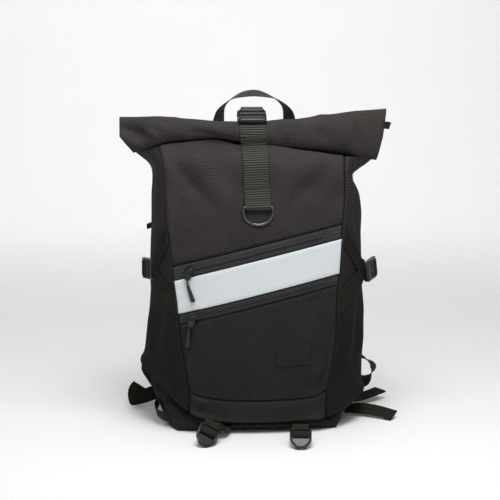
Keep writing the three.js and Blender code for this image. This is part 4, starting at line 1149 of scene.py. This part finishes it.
def side_clip(side, spot):
    """A fastened side clip: two webbing bars in front, cheeks and a ridged body behind them."""
    parts = [plate(mirrored(2.4, (14.5, -3), (16, 2), (16, 15), (12.5, 18.5)), 8.5, 2.0),
             plate(rounded_box(-12, 0.5, 12, 4.5, 1.6), 3, 1.2, 4.2),
             plate(rounded_box(-13, 7.5, 13, 16.5, 3), 3, 1.2, 4.0)]
    bars = ((-15.6, 0.2, 2.3), (-9.6, 2.8, 2.5), (-4.4, 2.2, 2.0))
    parts += [cross_bar(14.6, y, z, radius, 14) for y, z, radius in bars]
    outline = rounded([(-17.5, -2.6), (-6, -4), (2, -4), (2, 4), (-6, 4.6), (-17.5, 2.8)], 1.6)
    points, faces = plate(outline, 3.4, 1.0)
    parts += [(points[:, [2, 0, 1]] + vec(q * 14.2, 0, 0), faces) for q in (-1, 1)]
    hard_piece(side + "_side_clip", parts, PLASTIC_LOOK, side + "_side_buckle", spot)
    wind = ((-20, -2.4), (-17.5, 2.6), (-14.6, 3.2), (-12.4, 0.2), (-11.6, 3.4), (-9.4, 6.2), (-6.6, 3.4),
            (-6.0, -0.6))
    threaded(side + "_clip_webbing", wind, spot, 24, 1.2)


# Ladder locks
LOCK_WEB = 23.6


def ladder_lock(name, node, spot, tip_look=PLASTIC_LOOK):
    outline = mirrored(2.4, (15, 0), (16, 3), (15.6, 25), (6.6, 37.5))
    slots = [rounded_box(-12.4, low, 12.4, high, 1.2) for low, high in ((3.6, 8.6), (14.6, 20.6))]
    parts = [plate(outline, 3.6, 1.0, slots=slots), cross_bar(14.5, 1.8, 0.3, 2.1, 12),
             cross_bar(13, 11.6, 0.4, 2.3, 12)]
    parts += [rod((q * 14.2, 2, 0.6), (q * 13.9, 24, 0.6), 2.0, 12) for q in (-1, 1)]
    hard_piece(name, parts, PLASTIC_LOOK, node, spot)
    # A thin plate over the tip; with TIP_HIGHLIGHT_LOOK its light base colour is a painted highlight.
    tip = mirrored(1.6, (12.4, 21.4), (12.6, 25), (5.4, 35.6))
    hard_piece(name + "_tip", [plate(tip, 1.4, 0.5, 2.0)], tip_look, spot=spot)
    wind = ((3.9, -2.6), (5.4, 1.0), (8.4, 3.4), (11.6, 4.0), (14.8, 3.4), (17.4, 1.0), (18.8, -2.6))
    threaded(name + "_wind", wind, spot, LOCK_WEB, 1.3)


def build_base_straps():
    locks = [
        ("left", PLASTIC_LOOK, -50, (-58, -104, 13), (-72, -124, 24.5), (-0.37, -0.75, -0.545),
         (-0.87, 0.1, 0.46)),
        ("right", TIP_HIGHLIGHT_LOOK, 62, (61, -108, 9), (59.4, -140, 22), (-0.09, -0.88, -0.466),
         (-0.995, 0.094, 0.015)),
    ]
    for side, tip_look, root_x, knee, top, ahead, across in locks:
        ahead = unit(ahead)
        across = unit(across - ahead * (across @ ahead))
        face = unit(np.cross(across, ahead))
        u = (root_x / RINGS["front_half"][FOLD_ROW] + 1) / 2
        root = off_body(u, FOLD_ROW, 2 * LIFT)
        level = -RIGHTWARD
        route = [(root + vec(0, 9, -8), level), (knee, lerp(level, across, 0.5))]
        route += [(top + ahead * q + face * off, across) for q, off in ((-8, 1), (2.4, 3.2), (5.2, 0.6))]
        webbing(side + "_base_webbing", route, side + "_base_strap", SHADED_WEB_LOOK, width=LOCK_WEB)
        ladder_lock(side + "_base_ladder", side + "_base_lock", (top + ahead * 0.9, across, face), tip_look)


# Shoulder straps and loose webbing
LOCK_X, LOCK_Y, LOCK_Z = 108.6, 108.0, 163.5
LOCK_FACE = vec(0, 0.9, -0.35)
PAD_TOP_WIDTH, PAD_FOOT_WIDTH, PAD_HALF_THICK = 64, 46, 6.5
# Half of the pad's section, from its edge inward: shares of the half width and of the height
PAD_ACROSS = vec(1.0, 0.985, 0.95, 0.9, 0.8, 0.55, 0.25)
PAD_RISE = vec(0.0, 0.55, 0.75, 0.62, 0.9, 1.0, 1.0)


def build_shoulder_straps():
    w = np.concatenate([PAD_ACROSS, [0], -PAD_ACROSS[::-1]])
    h = np.concatenate([PAD_RISE, [1.0], PAD_RISE[::-1]])
    for side, sign, upper, middle in (("left", -1, 112, 124), ("right", 1, 78, 98)):
        places = [on_back(sign * 56, 382, LIFT + 4.6), on_back(sign * 60, 366, LIFT + 4.6) + vec(0, 5, 0)]
        places += [vec(sign * x, y, z) for x, y, z in (
            ((upper + 60) / 2, 108, 344), (upper, 128, 304), (middle, 132, 252), (112, 124, 200),
            (LOCK_X, LOCK_Y + 0.7, LOCK_Z + 1.7))]
        at, _, across, out, s = route_frames(level_route(places), 2.2)
        t = s / s[-1]
        half = lerp(PAD_TOP_WIDTH, PAD_FOOT_WIDTH, t) / 2
        full = PAD_HALF_THICK * np.minimum(1, np.minimum(8 * t + 0.4, 8 * (1 - t) + 0.4))
        bulge = 1 + 0.05 * np.sin(s * 0.09)
        over = np.outer(half, np.concatenate([w, w[-2:0:-1]]))
        rise = np.hstack([np.outer(full * bulge, h), np.outer(full, -h[1:-1])])
        shape, uv = sweep_mesh(at, across, out, s, over, rise)
        pad = make_piece(side + "_shoulder_cushion", shape, LINING_LOOK, side + "_shoulder_pad", uv)
        for q in (-1, 1):
            stitch_line(at + across * (q * half * 0.9)[:, None] + out * 4.2, out)
        if side == "left":
            tab = [(vec(-146, 131, 292), vec(0, 0.3, 1)), (vec(-157, 127, 292), vec(0, 0.2, 1)),
                   (vec(-166, 118, 290), vec(0.2, 0.1, 1))]
            webbing("left_shoulder_tab", tab, look=SHADED_WEB_LOOK, width=9, thick=3)
        spot = vec(sign * LOCK_X, LOCK_Y, LOCK_Z), RIGHTWARD, LOCK_FACE
        ladder_lock(side + "_shoulder_ladder", side + "_shoulder_lock", spot)


TAIL_HEM, TAIL_STITCHED = 1.45, 10.5


def build_tails():
    flat, up = (1, 0, 0), (0, 0, 1)
    tip_y, tip_z = LOCK_Y - 13.8, LOCK_Z - 36.6
    out_y, out_z = LOCK_Y - 3, LOCK_Z - 16.4
    routes = {
        "left_shoulder_web": [
            ((-LOCK_X, tip_y, tip_z), flat), ((-LOCK_X, 93, 114), flat), ((-120, 93, 98), (0.8, 0, -0.5)),
            ((-150, 95, 84), (-0.2, 0.75, -0.6)), ((-167, 93, 74), (-0.5, 0.8, -0.3)),
            ((-169, 89, 63), (-0.75, 0.55, -0.4)), ((-158, 86, 47), (-0.82, 0.2, -0.55)),
            ((-146, 82, 32), (-0.7, 0.2, -0.7)), ((-122, 74.6, 26), (0, 0, -1))],
        "right_shoulder_web": [
            ((LOCK_X, tip_y, tip_z), (-1, 0, 0)), ((LOCK_X, 93, 112), (-1, 0, 0)),
            ((120, 93, 94), (-0.8, 0, -0.5)), ((150, 94, 82), (-0.2, 0.7, -0.7)),
            ((184, 93, 73), (0.05, 0.88, -0.45)), ((204, 90, 56), (0.5, 0.86, 0.1)),
            ((190, 85, 36), (0.3, 0.75, 0.6)), ((150, 80, 38), (0, 0.1, 1)), ((122, 76.6, 42), up)],
        "left_shoulder_tail": [
            ((-LOCK_X, out_y, out_z), flat), ((-109, 116, 118), flat), ((-112, 126, 78), flat),
            ((-126, 126, 36), (0.7, 0.2, 0.6)), ((-150, 114, 17), up), ((-176, 88, 13.6), up),
            ((-191, 72, 16), (0.3, 0.1, 0.9)), ((-188, 64, 29), (0.8, 0.1, 0.3)),
            ((-181, 66, 39), (0.8, 0.4, -0.4))],
        "right_shoulder_tail": [
            ((LOCK_X, out_y, out_z), flat), ((109, 116, 118), flat), ((114, 128, 76), flat),
            ((126, 120, 36), (0.9, 0.3, 0.2)), ((138, 90, 15), (0.85, 0.5, 0.2)),
            ((160, 66, 10), (0.1, 0.95, 0.25)), ((190, 80, 10.5), (-0.45, 0.86, 0.2)),
            ((219, 103, 14), (-0.6, 0.79, 0.08))],
        "right_base_tail": [
            (off_body(1.52, 0.19, 2.1), (0, 1, 0.1)), ((160, 8, 9.4), (0.1, 0.85, 0.42)),
            ((190, -8, 10.4), (0.15, 0.85, 0.4)), ((219, -27, 6.6), (0.3, 0.85, 0.4))],
    }
    for node, route in routes.items():
        piece, frames = webbing(node + "_strap", route, node, SHADED_WEB_LOOK, rib=0.5)
        at, ahead, across, out, s = frames
        if "tail" in node:
            tip, along, wide, off = at[-1], ahead[-1], across[-1], out[-1]
            turned = [(tip - along * q + off * TAIL_HEM, wide) for q in (13, 9, 4.5, 0.2)]
            webbing(node + "_hem", turned, look=SHADED_WEB_LOOK, thick=1.5)
            row = tip - along * TAIL_STITCHED + off * (TAIL_HEM + 0.8)
            cross_stitches(row, wide, off, TAIL_STITCHED, 16, 2.0, 1.6)
    loop = [(3.54, 0.36, 0.3), (3.6, 0.33, 6), (3.68, 0.3, 9), (3.76, 0.28, 6), (3.83, 0.27, 0.4)]
    u, v, lift = np.array(loop, float).T
    route = crosswise(u, v, off_body(u, v, lift + WEB_THICK / 2))
    webbing("left_base_loop_strap", route, "left_base_loop", SHADED_WEB_LOOK, width=16)


# Zip pulls and the label patch
def build_pull(name, x, height, tab, cord, tip):
    """A slider on the tape, its tab, and a moulded grip on a short cord."""
    u, v = front_place(vec(x), vec(height + BAND_SLOPE * x))
    face = body_normal(u, v)[0]
    at = on_body(u, v, 3.8)[0]
    outline = rounded([(-8, -3.6), (-3, -6), (7.5, -5.4), (7.5, 5.4), (-3, 6), (-8, 3.6)], 2)
    parts = [plate(outline, 1.4, 0.5, -1.4), plate(outline, 1.4, 0.5, 1.2),
             plate(rounded_box(-4.5, -1, 0, 1, 0.8), 3.2, 0.4), cross_bar(4.5, 0, 2.6, 1.6, 10),
             rod((-4.2, -1.6, 2.2), (-4.2, 1.6, 2.2), 1.3, 10)]
    hard_piece(name + "_slider", parts, SLIDER_LOOK, name + "_zip_slider", (at, vec(1, 0, BAND_SLOPE), face))
    lift = 5.6
    top = at + face * 3.9
    tab_end = on_front(*tab, lift)
    down = tab_end - top
    half = np.linalg.norm(down) / 2
    outline = mirrored(1.6, (3.2, -half - 1), (5.2, -half + 3), (4.8, half - 6), (2.4, half + 1))
    hole = rounded_box(-1.7, half - 6, 1.7, half - 2, 0.8)
    tab_face = face - down * (face @ down) / (down @ down)
    spot = (top + tab_end) / 2, np.cross(tab_face, down), tab_face
    hard_piece(name + "_tab", [plate(outline, 2.2, 0.7, slots=[hole])], SLIDER_LOOK, name + "_zip_tab", spot)
    places = [tab_end + unit(down) * 0.4, on_front(*cord, lift - 0.5), on_front(*tip, lift - 1.6)]
    at, _, across, out, s = route_frames(level_route(places), 0.8)
    t = s / s[-1]
    neck, end = 0.25, 0.95
    grip = t > neck
    radius = np.where(t < neck, 1.2, lerp(2.0, 3.7, np.clip((t - neck) / (1 - neck), 0, 1)))
    radius = radius * np.where(t > end, np.sqrt(np.clip(1 - ((t - end) / 0.055) ** 2, 0.05, 1)), 1)
    radius = radius * np.where(grip & (t < neck + 0.04), 1.12, 1)
    over, rise = circle(12).T
    flattened = radius * np.where(grip, 0.7, 1)
    shape, _ = sweep_mesh(at, across, -out, s, np.outer(radius, over), np.outer(flattened, rise))
    make_piece(name + "_pull", shape, GRIP_LOOK, name + "_zip_grip")


def build_label():
    left, right, low, high, inset = 26, 80, 105, 136, 2.2
    x, z = np.meshgrid(np.linspace(left, right, 40), np.linspace(low, high, 26), indexing="ij")
    rim = np.minimum(np.minimum(x - left, right - x), np.minimum(z - low, high - z))
    lift = LIFT + 1 - 0.5 * bell(rim, 0.8) - 0.25 * bell(rim - inset, 0.7)
    shape, uv = wall(on_front(x, z, lift), on_front(x, z, 0.2))
    patch = make_piece("label_cloth", shape, FABRIC_LOOK, "label_patch", uv)
    wide = np.linspace(left + inset, right - inset, 30)
    tall = np.linspace(low + inset, high - inset, 20)
    for line in ((wide, tall[0]), (wide, tall[-1]), (wide[0], tall), (wide[-1], tall)):
        front_stitches(*np.broadcast_arrays(*line), 1.5, pitch=2.2, length=1.7, radius=0.22)


def build_seam_stitches():
    """Top stitching beside the main seams."""
    u = np.linspace(0.03, 0.97, 120)
    surface_stitches(u, hem_ring(3.2)(u), 0.2)
    rows = np.linspace(1.1, 8.6, 260)
    for line in (BACK - 0.03, LEFT_SIDE + 0.03, seam(1, rows) + 0.022, seam(4, rows) - 0.022):
        surface_stitches(line, rows, 0.2)


build_front()
build_zip("upper_zip", BAND_TOP, UPPER_ZIP_TOP)
build_zip("lower_zip", LOWER_ZIP_BOTTOM, BAND_BOTTOM, groove=3.0)
build_sides_and_back()
build_base()
build_roll()
build_closure()
build_handle()
build_side_straps()
build_base_straps()
build_shoulder_straps()
build_tails()
build_pull("upper", -101, 276.6, (-105, 238), (-104, 230), (-96, 204))
build_pull("lower", -96, 205.3, (-101, 168), (-103, 160), (-105, 134))
build_label()
build_seam_stitches()
make_piece("stitching", merge(STITCHES), THREAD_LOOK)


# Floor, light and world
def build_floor():
    """Paper that bends up into a backdrop all round."""
    g = Graph("floor_paper", Specular_IOR_Level=0.1)
    patches = g.noise(3, 2.0)
    g.surface(patches, (0.90, 0.90, 0.90), (0.92, 0.92, 0.92), g.spread(patches, 0.9, 1.0))
    flat, bend, top, around = 2.2, 1.6, 3.4, 72
    profile = [(0.02, 0.0), (1.0, 0.0), (flat, 0.0)]
    turns = np.linspace(0.1, math.pi / 2, 14)
    profile += [(flat + bend * math.sin(a), bend * (1 - math.cos(a))) for a in turns]
    profile.append((flat + bend, top))
    points = [(r * y, r * x, z) for r, z in profile for x, y in circle(around)]
    mesh = bpy.data.meshes.new("floor")
    mesh.from_pydata(points, [], [list(range(around))] + loop_faces(len(profile), around)[:-2])
    mesh.shade_smooth()
    mesh.materials.append(g.material)
    add_object("floor", mesh)


def build_lights():
    world = bpy.data.worlds.new("studio")
    bpy.context.scene.world = world
    world.use_nodes = True
    background = world.node_tree.nodes["Background"].inputs
    background["Color"].default_value = (1, 1, 1, 1)
    background["Strength"].default_value = 0.03
    sun = bpy.data.lights.new("sky_panel", "SUN")
    sun.energy = 1.18
    sun.angle = math.radians(75)
    aim(add_object("sky_panel", sun), (0.03, 0.08, -1))
    lamps = [
        ("key", (0.02, -0.45, 1.05), (0, -0.06, 0.36), 0.6, 8),
        ("backdrop", (0.0, 2.1, 2.7), (0, 5.0, 1.2), 2.4, 39),
    ]
    for name, place, target, size, power in lamps:
        data = bpy.data.lights.new(name, "AREA")
        data.shape = "DISK"
        data.size = size
        data.energy = power
        lamp = add_object(name, data)
        lamp.location = place
        aim(lamp, Vector(target) - Vector(place))


build_floor()
build_lights()
bpy.context.scene.view_settings.view_transform = "Standard"
